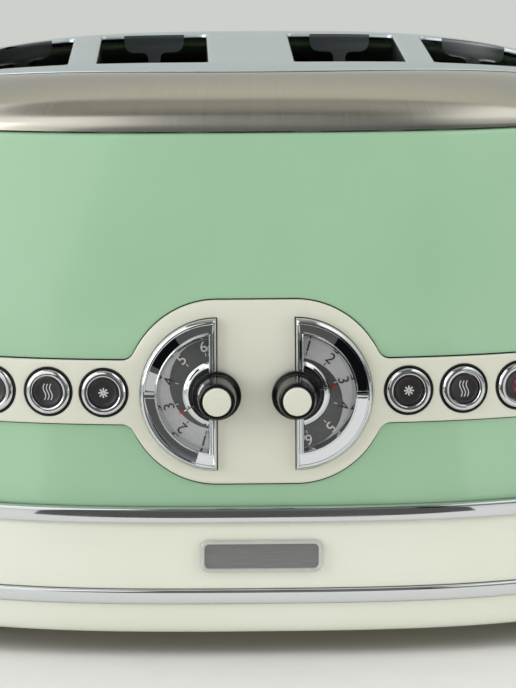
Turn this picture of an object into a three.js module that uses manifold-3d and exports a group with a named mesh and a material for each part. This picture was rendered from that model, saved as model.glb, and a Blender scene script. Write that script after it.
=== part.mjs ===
// A four-slice toaster in a rounded retro case, built from its separate pieces.
// Millimetres, +Z up, +X to the right of someone who faces the dials, +Y to the back.
// The origin is on the table, under the middle of the toaster.
import * as THREE from "three";
import { mergeVertices } from "three/addons/utils/BufferGeometryUtils.js";
import Module from "manifold-3d";

const wasm = await Module();
wasm.setup();

// General sizes
const clearance = 0.3; // between pieces that sit against each other
const weldTolerance = 0.0003; // points nearer than this are one point
const overrun = 30; // how far a cutting tool reaches past what it cuts
const sheet = 0.8; // plain steel sheet inside the case
const ringSteps = 40; // facets round the case
const roundSteps = 18; // facets round a small turned piece
const postSteps = 8; // facets round a post or a rod
const arcSteps = 12; // facets of a quarter round in a flat outline

// Case outline at its widest, and heights of the joints above the table
const caseHalfWidth = 166;
const caseHalfDepth = 142;
const outlinePower = 2.8; // squareness of the outline, 2 would be an ellipse
const footHeight = 9.1;
const baseTop = 50.8;
const bodyBottom = 56.9;
const jointHeight = 194.3;
const lidRise = 20.7; // from the joint up to the middle of the deck
const deckHeight = jointHeight + lidRise;

// Deck: an oval plate that falls towards its left and right ends, with a border that rolls down
const deckHalfWidth = 128;
const deckHalfDepth = 91;
const deckPower = 2.2;
const deckThickness = 1.6;
const crownDrop = 9.3; // fall of the deck at its left and right ends
const crownPower = 4;
const borderDrop = 1.2; // fall of the border at its edge
const borderShare = 0.72; // the border starts at this share of the deck's outline
const deckShares = [1, 0.86, borderShare, 0.36];
const seamWidth = 0.6; // groove between deck and lid

// Bread slots
const slotWidth = 42.5;
const slotHalfLength = 65.5;
const slotEndHalfWidth = 114.5; // half width of the curve that the slot ends follow
const slotEndPower = 3.1;
const slotEndSteps = 5;
const middleGap = 33.2; // between the two inner slots
const bridge = 11.3; // between the slots of a pair
const collarDepth = 17; // the folded edges reach this far under the deck
const tabWidth = 24; // tongue that hangs at each end of a slot
const tabDepth = 7.4;
const tabStem = 5;

// Body and lid shells
const bodyWall = 1.2;
const bodyInset = 4; // body behind the widest line of the base
const bodyLean = 13; // how far front and back lean in at the joint
const bodyLeanSides = 10; // the same on the left and right
const leanStart = 88; // the body is straight below this height
const leanPower = 2.2;
const bodyLevels = 5;
const bodyFlange = 5;
const jointPower = 3; // squareness of the outline at the joint
const lidWall = 1.2;
const lidLedge = 4; // shelf that carries the deck
const lidLevels = 6;

// Base and trim strips
const baseInset = 1;
const baseRound = 2.6;
const lipShares = [[1, 0], [0.4, 0.25], [0.1, 0.6]]; // rounding of the lower edge
const baseWall = 4.2;
const lowerStripBottom = 20.4;
const stripHeight = 5.4;
const stripBulge = 1.9; // the strips stand this far off the base
const stripEdge = 1.4;
const [sideShare, edgeShare, crestShare] = [0.3, 0.16, 0.5]; // roundness of the strips
const stripSeat = 1.6; // depth of the groove that holds the lower strip
const spigotWall = 1.8; // upstand of the base that the body fits over
const spigotTop = 66;
const basePlateBottom = 11.8;
const basePlateThickness = 2;
const footRadius = 9;
const footX = 112;
const footY = 88;
const ventLength = 60;
const ventWidth = 4;
const ventPitch = 14;
const ventRows = 4;

// Front panel: a belt with a rounded field round the two dials
const beltHeight = 99.3; // centre line of the belt
const beltHalf = 11.9;
const fieldRadius = 34.2;
const fieldFillet = 5;
const panelProud = 2; // the panel stands this far off the body
const panelLap = 1.6; // the panel laps the edge of its window by this much
const panelReach = 30; // the front panel ends this far in front of the middle of the sides
const panelSteps = 12;

// Dials
const dialOffset = 14.7; // each dial centre from the middle
const dialHeight = 98.75;
const dialRadius = 28.2;
const bezelProud = 2.3;
const bezelDepth = 6.4;
const bezelRim = 1.3;
const bezelSlope = 0.5;
const channelRadius = 23;
const channelDepth = 1.5;
const hubRadius = 12.3;
const hubBore = 9.7;
const hubRecess = 1.9; // hub ring and bar lie this far behind the rim
const hubThickness = 2.2;
const barWidth = 3.2;
const faceThickness = 1.4;

// Knobs and pointers
const knobRadius = 9.1;
const knobSkirt = 2.6;
const knobLength = 16;
const knobNeck = 6.9;
const skirtShares = [0.27, 0.48, 0.93]; // places along the knob where its outline bends
const capRadius = 5.5;
const capSeat = 2;
const capProud = 1.4;
const shaftRadius = 3;
const shaftLength = 30;
const pointerReach = 15;
const pointerHub = 5.6;
const pointerWidth = 2.4;
const pointerThickness = 0.6;
const leftSetting = -116.2; // degrees from the top of the dial, clockwise
const rightSetting = 79.6;

// Push buttons, three on each side of the dials
const buttonPlaces = { defrost: 56.4, reheat: 77, cancel: 97.8 };
const buttonRadius = 8.75;
const buttonGap = 0.5;
const buttonProud = 2.9;
const buttonRim = 3.1; // width of the bright ring
const buttonDish = 1.5; // depth of the dished centre
const buttonDepth = 6;
const buttonTravel = 2;
const buttonStem = 2.4;
// Height of the bright ring, from its outer edge inwards
const rimShares = [
  [1, 0.2],
  [0.86, 0.84],
  [0.5, 1],
  [0.14, 0.84],
];

// Control board behind the panel
const boardMargin = 7; // board beyond the outer buttons
const boardHalfHeight = 28;
const boardThickness = 1.6;
const boardDepth = 32; // board behind the face of the panel
const boardHalfWidth = buttonPlaces.cancel + boardMargin;
const postRadius = 2.1;
const postRise = 24; // upper and lower posts from the dial centres
const beltPostRise = 8;
const potRadius = 8;
const potLength = 10;
const switchHalf = 3;
const switchHeight = 3;

// Badge plate, left bare
const badgeWidth = 45.2;
const badgeHeight = 12;
const badgeCorner = 2.6;
const badgeRim = 1.3;
const badgeThickness = 1.8;
const badgeField = 0.7;
const badgeCentre = 38.4;
const badgeShift = 1.6; // it sits a little to the right

// Lever panels and levers on the left and right sides
const leverPanelHalf = 15;
const leverPanelTop = 184;
const leverSlotHalf = 3.2;
const leverSlotBottom = 99;
const leverSlotTop = 171;
const leverHeight = 165;
const leverTravel = 60;
const leverKnobGap = 1.5;
const leverKnobLength = 18;
const leverKnobRadius = 8.5;
const knobShares = [
  [0, 0.4],
  [0.14, 0.44],
  [0.32, 0.84],
  [0.52, 1],
  [0.78, 1],
  [0.93, 0.88],
  [1, 0.6],
];
const stalkHalf = 2;
const stalkHeight = 6;
const leverPlateHalf = 6;

// Toasting chambers, one for each pair of slots
const frameHalfLength = 70;
const frameBottom = 43;
const frameTop = deckHeight - collarDepth - 2 * sheet; // just under the collars of the deck
const frameSide = 8.6; // frame wall beyond the slot edge
const legWidth = 6;
const armSlotHalf = 3.5;
const armSlotBottom = 54;
const armSlotTop = 133;
const heaterGap = 4.6; // heater board beyond the slot edge
const heaterThickness = 1;
const heaterBottom = 56;
const heaterDrop = 6; // heater boards and guards end under the top of the frame
const guardDrop = 8;
const heaterTop = frameTop - heaterDrop;
const guardGap = 0.5;
const guardWire = 1.4;
const guardWires = 4;
const guardBottom = 49;
const guardTop = frameTop - guardDrop;

// Lift: two racks on one carriage for each pair of slots
const rackHeight = 122;
const rackThickness = 1.4;
const rackHalfWidth = 9;
const rackHalfLength = 60;
const prongHalf = 2;
const prongHeight = 5;
const carriageGap = 4; // carriage in front of the frame
const carriageThickness = 2;
const carriageHeight = 14;
const carriageOutside = 8; // carriage beyond the frame, towards the lever
const carriageInside = 17; // carriage stops short of the inner frame wall
const rodRadius = 3;
const rodOffset = 9; // guide rod in front of the carriage
const bushHalf = 7;
const bushHeight = 18;
const bracketDrop = 12; // bracket under the top of the frame
const bracketHeight = frameTop - bracketDrop;
const bracketThickness = 1.6;
const rodTop = bracketHeight + rodRadius * 2;
const springOffset = 16;
const springRadius = 3.6;
const springBore = 2.4;
const lugHeight = 2.4;
const magnetOffset = 26;
const magnetHalfWidth = 9;
const magnetHalfDepth = 6;
const magnetCoil = 17;
const magnetStand = 4;

// Crumb trays, drawn out at the back
const trayBottom = 30;
const trayDepth = 6;
const trayWall = 1;
const trayFront = 66;
const trayOuter = 104;
const trayGap = 1.2; // between tray and frame legs
const trayFaceBottom = 29;
const trayFaceTop = 42;
const trayFaceDepth = 3;
const trayPull = 5;
const trayPullHalf = 18;
const trayPullHeight = 2.5;

// Cord inlet at the back of the base, and the block that its wires end in
const inletHeight = 38;
const inletRadius = 6.6;
const inletBore = 3.4;
const inletFlange = 9;
const inletProud = 5;
const inletInside = 6;
const terminalHalfWidth = 12;
const terminalDepth = 14;
const terminalHeight = 12;
const terminalSetback = 24; // from the widest line of the case
const terminalBack = caseHalfDepth - terminalSetback;

// Looks: colour, roughness, metalness
const looks = {
  mint: [0x9fd0ab, 0.25, 0],
  cream: [0xe6e4d6, 0.35, 0],
  chrome: [0xd9dcdd, 0.08, 1],
  brushed: [0xb9b8ad, 0.35, 1],
  satin: [0xb9c2c3, 0.45, 0.6],
  black: [0x151515, 0.25, 0],
  rubber: [0x222222, 0.8, 0],
  zinc: [0x9a9a96, 0.45, 0.9],
  mica: [0xcbbf9d, 0.7, 0],
  board: [0x2f6b46, 0.6, 0],
  red: [0xc2201c, 0.4, 0],
  grey: [0x8e8f8d, 0.5, 0.2],
};
const halfTurn = Math.PI;
const quarterTurn = Math.PI / 2;
const [front, back, left, right] = [-1, 1, -1, 1];
const sideName = (side) => (side === left ? "left" : "right");

const toaster = new THREE.Group();
const assembly = new THREE.Group();
toaster.add(assembly);

// Solids from three.js geometry
function solidOf(geometry) {
  for (const name of ["normal", "uv"]) geometry.deleteAttribute(name);
  const merged = mergeVertices(geometry, weldTolerance);
  return new wasm.Manifold(
    new wasm.Mesh({
      numProp: 3,
      vertProperties: new Float32Array(merged.attributes.position.array),
      triVerts: new Uint32Array(merged.index.array),
    }),
  );
}

function joined(solids) {
  return solids.reduce((whole, piece) => whole.add(piece));
}

function add(name, solid, look) {
  const mesh = solid.getMesh();
  const geometry = new THREE.BufferGeometry();
  const places = new THREE.BufferAttribute(new Float32Array(mesh.vertProperties), 3);
  geometry.setAttribute("position", places);
  geometry.setIndex(new THREE.BufferAttribute(new Uint32Array(mesh.triVerts), 1));
  geometry.computeVertexNormals();
  const [color, roughness, metalness] = look;
  const material = new THREE.MeshStandardMaterial({ color, roughness, metalness });
  const made = new THREE.Mesh(geometry, material);
  made.name = name;
  assembly.add(made);
}

// A block between two places on each axis.
function box(x, y, z) {
  const size = [x, y, z].map(([from, to]) => Math.abs(to - from));
  const middle = [x, y, z].map(([from, to]) => (from + to) / 2);
  return solidOf(new THREE.BoxGeometry(...size).translate(...middle));
}

// Round bars along Y and along Z.
function barY(radius, x, z, [from, to], steps = roundSteps) {
  const geometry = new THREE.CylinderGeometry(radius, radius, to - from, steps);
  return solidOf(geometry.translate(x, (from + to) / 2, z));
}

function barZ(radius, x, y, [from, to], steps = roundSteps) {
  const geometry = new THREE.CylinderGeometry(radius, radius, to - from, steps);
  return solidOf(geometry.rotateX(quarterTurn).translate(x, y, (from + to) / 2));
}

// Flat outlines made thick along Y and along Z.
function shapeOf(points) {
  return new THREE.Shape(points.map(([x, y]) => new THREE.Vector2(x, y)));
}

function plateY(shape, [from, to]) {
  const options = { depth: to - from, bevelEnabled: false };
  const geometry = new THREE.ExtrudeGeometry(shape, options).rotateX(quarterTurn);
  return solidOf(geometry.translate(0, to, 0));
}

function plateZ(shape, [from, to]) {
  const options = { depth: to - from, bevelEnabled: false };
  return solidOf(new THREE.ExtrudeGeometry(shape, options).translate(0, 0, from));
}

function arcPoints(x, y, radius, from, to, steps) {
  return Array.from({ length: steps + 1 }, (_, i) => {
    const turn = from + ((to - from) * i) / steps;
    return [x + radius * Math.cos(turn), y + radius * Math.sin(turn)];
  });
}

// A piece turned round the Y axis from a closed profile of radius and depth, then placed.
function turned(profile, place, steps = roundSteps) {
  const points = profile.map(([radius, depth]) => new THREE.Vector2(radius, depth));
  const made = solidOf(place(new THREE.LatheGeometry(points, steps)));
  if (made.volume() > 0) return made;
  return solidOf(place(new THREE.LatheGeometry(points.reverse(), steps)));
}

function rodProfile(radius, [from, to]) {
  return [[0, from], [radius, from], [radius, to], [0, to]];
}

function pipeProfile(outer, bore, [from, to]) {
  return [[bore, from], [outer, from], [outer, to], [bore, to], [bore, from]];
}

// A closed ring of points round the case: half width, half depth and squareness
function ring(halfX, halfY, power, heightAt) {
  return Array.from({ length: ringSteps }, (_, i) => {
    const turn = (2 * halfTurn * i) / ringSteps;
    const [c, s] = [Math.cos(turn), Math.sin(turn)];
    const x = halfX * Math.sign(c) * Math.abs(c) ** (2 / power);
    const y = halfY * Math.sign(s) * Math.abs(s) ** (2 / power);
    return [x, y, heightAt(x)];
  });
}

function surface(points, indices) {
  const geometry = new THREE.BufferGeometry();
  geometry.setAttribute("position", new THREE.Float32BufferAttribute(points.flat(), 3));
  geometry.setIndex(indices);
  return solidOf(geometry);
}

function skirt(from, to) {
  const faces = [];
  for (let i = 0; i < ringSteps; i++) {
    const j = (i + 1) % ringSteps;
    faces.push(from + i, from + j, to + j, from + i, to + j, to + i);
  }
  return faces;
}

// Rings joined in turn, the last to the first: a closed band round the case.
function band(rings) {
  const faces = rings.flatMap((_, level) =>
    skirt(level * ringSteps, ((level + 1) % rings.length) * ringSteps),
  );
  return surface(rings.flat(), faces);
}

// Rings joined in turn and closed with a point in the middle of each end.
function block(rings) {
  const points = rings.flat();
  const last = (rings.length - 1) * ringSteps;
  const faces = rings.slice(1).flatMap((_, level) =>
    skirt(level * ringSteps, (level + 1) * ringSteps),
  );
  const middleOf = (at) => at.reduce((sum, point) => sum + point[2], 0) / ringSteps;
  const bottom = points.push([0, 0, middleOf(rings[0])]) - 1;
  const top = points.push([0, 0, middleOf(rings[rings.length - 1])]) - 1;
  for (let i = 0; i < ringSteps; i++) {
    const j = (i + 1) % ringSteps;
    faces.push(bottom, j, i, top, last + i, last + j);
  }
  return surface(points, faces);
}

// Places on the case
const flat = (z) => () => z;
const caseRing = (inset, z) =>
  ring(caseHalfWidth - inset, caseHalfDepth - inset, outlinePower, flat(z));
const caseBlock = (inset, [from, to]) => block([caseRing(inset, from), caseRing(inset, to)]);
const crownAt = (x) => crownDrop * (Math.abs(x) / deckHalfWidth) ** crownPower;
const leanAt = (z) => Math.max(0, (z - leanStart) / (jointHeight - leanStart)) ** leanPower;
const bodyWideAt = (z) => caseHalfWidth - bodyInset - bodyLeanSides * leanAt(z);
const bodyDeepAt = (z) => caseHalfDepth - bodyInset - bodyLean * leanAt(z);
const bodyPowerAt = (z) => outlinePower + (jointPower - outlinePower) * leanAt(z);
const bodyRing = (offset, z) =>
  ring(bodyWideAt(z) + offset, bodyDeepAt(z) + offset, bodyPowerAt(z), flat(z));
const bodyTop = jointHeight - clearance;
const bodyHeights = Array.from({ length: bodyLevels }, (_, i) => {
  return bodyBottom + ((bodyTop - bodyBottom) * i) / (bodyLevels - 1);
});
const bodyBlock = (offset) => block(bodyHeights.map((z) => bodyRing(offset, z)));

function outlineY(x, halfX, halfY, power) {
  const share = 1 - (Math.abs(x) / halfX) ** power;
  return halfY * Math.max(0, share) ** (1 / power);
}

// A span on the left or right, given from the middle outwards.
const spanOn = (side, from, to) => [side * from, side * to].sort((a, b) => a - b);

// Slots
const innerSlot = (middleGap + slotWidth) / 2;
const slotPitch = slotWidth + bridge;
const slots = [left, right].flatMap((side) =>
  [0, 1].map((step) => ({ side, step, x: side * (innerSlot + slotPitch * step) })),
);
const pairCentre = innerSlot + slotPitch / 2;

// Outline of a slot, grown by an amount, with ends that follow the curve of the deck.
function slotShape(x, grow) {
  const half = slotWidth / 2 + grow;
  const far = Array.from({ length: slotEndSteps + 1 }, (_, i) => {
    const at = x - half + (2 * half * i) / slotEndSteps;
    return [at, outlineY(at, slotEndHalfWidth, slotHalfLength, slotEndPower) + grow];
  });
  const near = far.map(([at, end]) => [at, -end]);
  return shapeOf([...near, ...far.reverse()]);
}

// Deck with its slots, the folded collars along them and the tongues at their ends
function makeDeck() {
  const [halfX, halfY] = [deckHalfWidth - seamWidth, deckHalfDepth - seamWidth];
  const borderAt = (share) => {
    return borderDrop * (Math.max(0, share - borderShare) / (1 - borderShare)) ** 2;
  };
  const level = (drop) => (x) => deckHeight - crownAt(x) - drop;
  const layer = (drop) =>
    deckShares.map((share) => {
      return ring(halfX * share, halfY * share, deckPower, level(drop + borderAt(share)));
    });
  const collarBottom = deckHeight - collarDepth;
  const clipBottom = ring(halfX, halfY, deckPower, flat(collarBottom));
  const clip = block([clipBottom, ...layer(deckThickness / 2)]);
  const reach = [-slotHalfLength - overrun, slotHalfLength + overrun];
  let deck = block([...layer(deckThickness).reverse(), ...layer(0)]);
  for (const { x } of slots) {
    const hole = plateZ(slotShape(x, 0), [collarBottom - overrun, deckHeight + overrun]);
    const fold = plateZ(slotShape(x, sheet), [collarBottom, deckHeight]).subtract(hole);
    const kept = [left, right].map((side) => {
      const edge = x + (side * slotWidth) / 2;
      return box([edge - 2 * sheet, edge + 2 * sheet], reach, [collarBottom, deckHeight]);
    });
    const tabBottom = deckHeight - crownAt(x) - tabDepth;
    kept.push(box([x - tabWidth / 2, x + tabWidth / 2], reach, [tabBottom, deckHeight]));
    kept.push(box([x - tabStem / 2, x + tabStem / 2], reach, [collarBottom, deckHeight]));
    deck = deck.subtract(hole).add(fold.intersect(joined(kept)).intersect(clip));
  }
  return deck;
}
add("top_deck", makeDeck(), looks.satin);

// Lid: a steel shoulder from the body up to the deck, with a ledge that carries the deck
function lidRing(share, offset) {
  const [out, rise] = [Math.cos(share * quarterTurn), Math.sin(share * quarterTurn)];
  const halfX = deckHalfWidth + (bodyWideAt(jointHeight) - deckHalfWidth) * out;
  const halfY = deckHalfDepth + (bodyDeepAt(jointHeight) - deckHalfDepth) * out;
  const power = deckPower + (jointPower - deckPower) * out;
  const heightAt = (x) => {
    const reach = deckHeight - borderDrop - crownAt(x) - jointHeight - offset;
    return jointHeight + reach * rise;
  };
  return ring(halfX - offset, halfY - offset, power, heightAt);
}

function makeLid() {
  const shares = Array.from({ length: lidLevels }, (_, i) => i / (lidLevels - 1));
  const seatDrop = deckThickness + clearance;
  const seat = (inset, drop) => {
    const heightAt = (x) => deckHeight - borderDrop - crownAt(x) - drop;
    return ring(deckHalfWidth - inset, deckHalfDepth - inset, deckPower, heightAt);
  };
  const outer = shares.map((share) => lidRing(share, 0));
  const ledge = [seat(0, seatDrop), seat(lidLedge, seatDrop), seat(lidLedge, seatDrop + lidWall)];
  const inner = shares.slice(0, -1).map((share) => lidRing(share, lidWall));
  return band([...outer, ...ledge, ...inner.reverse()]);
}
add("lid_shell", makeLid(), looks.brushed);

// Outline of the belt and of the field round the dials, seen from the front
function panelShape(shrink, reach) {
  const half = beltHalf - shrink;
  const radius = fieldRadius - shrink;
  const fillet = fieldFillet + shrink;
  const filletRise = half + fillet;
  const filletRun = Math.sqrt((radius + fillet) ** 2 - filletRise ** 2);
  const turn = Math.atan2(filletRise, filletRun);
  const filletX = dialOffset + filletRun;
  const corner = [
    [reach, half],
    ...arcPoints(filletX, filletRise, fillet, -quarterTurn, turn - halfTurn, arcSteps / 2),
    ...arcPoints(dialOffset, 0, radius, turn, quarterTurn, panelSteps).slice(1),
  ];
  const mirrored = [...corner].reverse().map(([x, z]) => [-x, z]);
  const upper = [...corner, ...mirrored];
  const lower = [...upper].reverse().map(([x, z]) => [x, -z]);
  return shapeOf([...upper, ...lower].map(([x, z]) => [x, z + beltHeight]));
}

// Body: one enamelled shell with a window behind the panel and a slot for each lever
const frontReach = [-caseHalfDepth - overrun, -panelReach];
const caseReach = caseHalfWidth + overrun;
const windowEnd = buttonPlaces.cancel + buttonRadius + fieldFillet;

function leverSlot(side) {
  const span = spanOn(side, deckHalfWidth, caseReach);
  return box(span, [-leverSlotHalf, leverSlotHalf], [leverSlotBottom, leverSlotTop]);
}

function makeBody() {
  const outer = bodyHeights.map((z) => bodyRing(0, z));
  const inner = bodyHeights.slice(0, -1).map((z) => bodyRing(-bodyWall, z));
  const flange = [bodyRing(-bodyFlange, bodyTop), bodyRing(-bodyFlange, bodyTop - bodyWall)];
  const corner = bodyRing(-bodyWall, bodyTop - bodyWall);
  const shell = band([...outer, ...flange, corner, ...inner.reverse()]);
  const opening = plateY(panelShape(panelLap, windowEnd), frontReach);
  return shell.subtract(opening).subtract(leverSlot(left)).subtract(leverSlot(right));
}
add("body_shell", makeBody(), looks.mint);

// Where a button sits on the curved belt, and how far its axis turns to the side
function placeOnBelt(x) {
  const halfX = bodyWideAt(beltHeight) + panelProud;
  const halfY = bodyDeepAt(beltHeight) + panelProud;
  const y = -outlineY(x, halfX, halfY, outlinePower);
  const slopeX = (Math.abs(x) / halfX) ** (outlinePower - 1) / halfX;
  const slopeY = (Math.abs(y) / halfY) ** (outlinePower - 1) / halfY;
  return { x, y, turn: Math.sign(x) * Math.atan2(slopeX, slopeY) };
}

const frontFace = placeOnBelt(0).y;
const boardFront = frontFace + boardDepth;
const seats = [left, right].flatMap((side) =>
  Object.entries(buttonPlaces).map(([use, x]) => ({ side, use, ...placeOnBelt(side * x) })),
);
const onButton = (seat) => (geometry) =>
  geometry.rotateZ(seat.turn).translate(seat.x, seat.y, beltHeight);
const onDial = (side) => (geometry) => geometry.translate(side * dialOffset, 0, dialHeight);

// The half of a dial that lies outside its centre line, less a gap along that line.
function dialHalf(side, gap) {
  const span = spanOn(side, dialOffset + gap, dialOffset + dialRadius + overrun);
  const rise = dialRadius + overrun;
  return box(span, [-caseHalfDepth - overrun, 0], [dialHeight - rise, dialHeight + rise]);
}

// Front panel with its dial holes, button holes and posts
const postX = (buttonPlaces.defrost + buttonPlaces.reheat) / 2;
const postPlaces = [-1, 1].flatMap((up) => [
  [0, dialHeight + up * postRise],
  [postX, beltHeight + up * beltPostRise],
  [-postX, beltHeight + up * beltPostRise],
]);

function makePanel() {
  const skin = bodyBlock(panelProud).subtract(bodyBlock(clearance));
  let panel = skin.intersect(plateY(panelShape(0, caseReach), frontReach));
  for (const [x, z] of postPlaces) {
    const reach = [placeOnBelt(x).y + panelProud / 2, boardFront - clearance];
    panel = panel.add(barY(postRadius, x, z, reach, postSteps));
  }
  const bore = buttonRadius + buttonGap;
  for (const seat of seats) {
    panel = panel.subtract(turned(rodProfile(bore, [-overrun, overrun]), onButton(seat)));
  }
  const depth = [-caseHalfDepth - overrun, boardFront];
  for (const side of [left, right]) {
    const disc = turned(rodProfile(dialRadius + clearance, depth), onDial(side), 2 * roundSteps);
    const shaft = turned(rodProfile(shaftRadius + buttonGap, depth), onDial(side));
    panel = panel.subtract(disc.intersect(dialHalf(side, -clearance))).subtract(shaft);
  }
  return panel;
}
add("control_panel", makePanel(), looks.cream);

// Lever panels: the belt runs on into an upright field round each lever slot
function makeLeverPanel(side) {
  const [low, high] = [beltHeight - beltHalf, beltHeight + beltHalf];
  const start = clearance - panelReach;
  const crownHeight = leverPanelTop - leverPanelHalf;
  const crown = arcPoints(0, crownHeight, leverPanelHalf, 0, halfTurn, arcSteps);
  const corner = leverPanelHalf - fieldFillet;
  const lowerCorner = arcPoints(corner, low + fieldFillet, fieldFillet, -quarterTurn, 0, arcSteps / 2);
  const filletCentre = [-leverPanelHalf - fieldFillet, high + fieldFillet];
  const fillet = arcPoints(...filletCentre, fieldFillet, 0, -quarterTurn, arcSteps / 2);
  const outline = [[start, low], ...lowerCorner, ...crown, ...fillet, [start, high]];
  const [from, to] = spanOn(side, deckHalfWidth, caseReach);
  const options = { depth: to - from, bevelEnabled: false };
  const geometry = new THREE.ExtrudeGeometry(shapeOf(outline), options);
  geometry.rotateX(quarterTurn).rotateZ(quarterTurn).translate(from, 0, 0);
  const cutter = solidOf(geometry);
  const skin = bodyBlock(panelProud).subtract(bodyBlock(clearance));
  return skin.intersect(cutter).subtract(leverSlot(side));
}
add("lever_panel_left", makeLeverPanel(left), looks.cream);
add("lever_panel_right", makeLeverPanel(right), looks.cream);

// Chamber frames: their walls and legs also set the place of the crumb trays
const frameInner = middleGap / 2 - frameSide;
const frameOuter = middleGap / 2 + slotPitch + slotWidth + frameSide;
const plateTop = basePlateBottom + basePlateThickness;
const rodY = -(frameHalfLength + sheet + carriageGap + carriageThickness + rodOffset);
const legBottom = plateTop + clearance;

function makeFrame(side) {
  const reach = frameHalfLength + sheet;
  const heights = [frameBottom, frameTop];
  const hollow = [frameBottom - overrun, frameTop + overrun];
  const outside = box(spanOn(side, frameInner - sheet, frameOuter + sheet), [-reach, reach], heights);
  const roomReach = [-frameHalfLength, frameHalfLength];
  let frame = outside.subtract(box(spanOn(side, frameInner, frameOuter), roomReach, hollow));
  for (const { x } of slots.filter((slot) => slot.side === side)) {
    const span = [x - armSlotHalf, x + armSlotHalf];
    const cut = [-reach - overrun, reach + overrun];
    frame = frame.subtract(box(span, cut, [armSlotBottom, armSlotTop]));
  }
  const legSpans = [
    spanOn(side, frameInner - sheet, frameInner + legWidth),
    spanOn(side, frameOuter - legWidth, frameOuter + sheet),
  ];
  for (const end of [front, back]) {
    const depth = [end * frameHalfLength, end * reach];
    for (const span of legSpans) {
      frame = frame.add(box(span, depth, [legBottom, frameBottom + legWidth]));
    }
  }
  const bracket = spanOn(side, pairCentre - springOffset - bushHalf, pairCentre + bushHalf);
  const shelf = [rodY - bushHalf, -frameHalfLength - sheet / 2];
  frame = frame.add(box(bracket, shelf, [bracketHeight, bracketHeight + bracketThickness]));
  const bore = rodRadius + clearance;
  return frame.subtract(barZ(bore, side * pairCentre, rodY, [armSlotTop, frameTop], postSteps));
}

// Heater boards and wire guards on both sides of each slot
function makeHeater(x) {
  const reach = frameHalfLength - clearance;
  const half = heaterThickness / 2;
  return box([x - half, x + half], [-reach, reach], [heaterBottom, heaterTop]);
}

function makeGuard(side) {
  const reach = frameHalfLength - clearance;
  const pitch = (2 * (reach - guardWire)) / (guardWires - 1);
  const pieces = [];
  const edges = slots.filter((slot) => slot.side === side).flatMap(({ x }) => [
    { at: x - slotWidth / 2, out: -1 },
    { at: x + slotWidth / 2, out: 1 },
  ]);
  for (const { at, out } of edges) {
    const span = [at + out * guardGap, at + out * (guardGap + guardWire)];
    pieces.push(box(span, [-reach, reach], [guardBottom, guardBottom + guardWire]));
    pieces.push(box(span, [-reach, reach], [guardTop - guardWire, guardTop]));
    for (let i = 0; i < guardWires; i++) {
      const middle = guardWire - reach + pitch * i;
      const wire = [middle - guardWire / 2, middle + guardWire / 2];
      pieces.push(box(span, wire, [guardBottom, guardTop]));
    }
  }
  const across = spanOn(side, middleGap / 2 - guardWire, frameOuter - frameSide + guardWire);
  for (const end of [front, back]) {
    const y = [end * reach, end * (reach - guardWire)];
    pieces.push(box(across, y, [guardBottom, guardBottom + guardWire]));
  }
  return joined(pieces);
}

for (const side of [left, right]) {
  add("chamber_frame_" + sideName(side), makeFrame(side), looks.zinc);
  add("bread_guard_" + sideName(side), makeGuard(side), looks.zinc);
  const half = heaterThickness / 2;
  const boards = {
    inner: middleGap / 2 - heaterGap - half,
    middle: pairCentre,
    outer: frameOuter - frameSide + heaterGap + half,
  };
  for (const [place, x] of Object.entries(boards)) {
    add(`heater_board_${sideName(side)}_${place}`, makeHeater(side * x), looks.mica);
  }
}

// Lift: racks under the bread, a carriage on a guide rod, and the lever stalk
const carriageBack = -(frameHalfLength + sheet + carriageGap);
const carriageFront = carriageBack - carriageThickness;
const carriageBottom = rackHeight - prongHeight + rackThickness;
const carriageTop = carriageBottom + carriageHeight;
const knobStart = bodyWideAt(beltHeight) + panelProud + leverKnobGap;

function makeRack(x) {
  const top = rackHeight + rackThickness;
  const span = [x - rackHalfWidth, x + rackHalfWidth];
  const plate = box(span, [-rackHalfLength, rackHalfLength], [rackHeight, top]);
  const reach = [carriageBack + clearance, frameHalfLength + sheet];
  const spine = box([x - prongHalf, x + prongHalf], reach, [top - prongHeight, top]);
  return plate.add(spine);
}

function makeCarriage(side) {
  const heights = [carriageBottom, carriageTop];
  const armX = frameOuter + sheet + carriageOutside;
  const arm = spanOn(side, armX, armX + carriageThickness);
  const bush = spanOn(side, pairCentre - bushHalf, pairCentre + bushHalf);
  const lug = spanOn(side, pairCentre - springOffset - springRadius, pairCentre - bushHalf);
  const beam = spanOn(side, frameInner + carriageInside, armX + carriageThickness);
  const stalk = spanOn(side, armX + carriageThickness / 2, knobStart - clearance);
  const stalkHeights = [leverHeight - stalkHeight / 2, leverHeight + stalkHeight / 2];
  const beamMiddle = carriageBack - carriageThickness / 2;
  const carriage = joined([
    box(beam, [carriageFront, carriageBack], heights),
    box(arm, [carriageFront, leverPlateHalf], heights),
    box(arm, [-leverPlateHalf, leverPlateHalf], [carriageBottom, stalkHeights[1]]),
    box(stalk, [-stalkHalf, stalkHalf], stalkHeights),
    box(bush, [rodY - bushHalf, beamMiddle], [carriageBottom, carriageBottom + bushHeight]),
    box(lug, [rodY - springRadius, beamMiddle], [carriageTop - lugHeight, carriageTop]),
  ]);
  const bore = rodRadius + clearance;
  return carriage.subtract(barZ(bore, side * pairCentre, rodY, [frameBottom, frameTop], postSteps));
}

function makeLeverKnob(side) {
  const profile = knobShares.map(([along, out]) => [leverKnobRadius * out, -leverKnobLength * along]);
  const closed = [[0, 0], ...profile, [0, -leverKnobLength]];
  const place = (geometry) =>
    geometry.rotateZ(side * quarterTurn).translate(side * knobStart, 0, leverHeight);
  return turned(closed, place);
}

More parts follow.
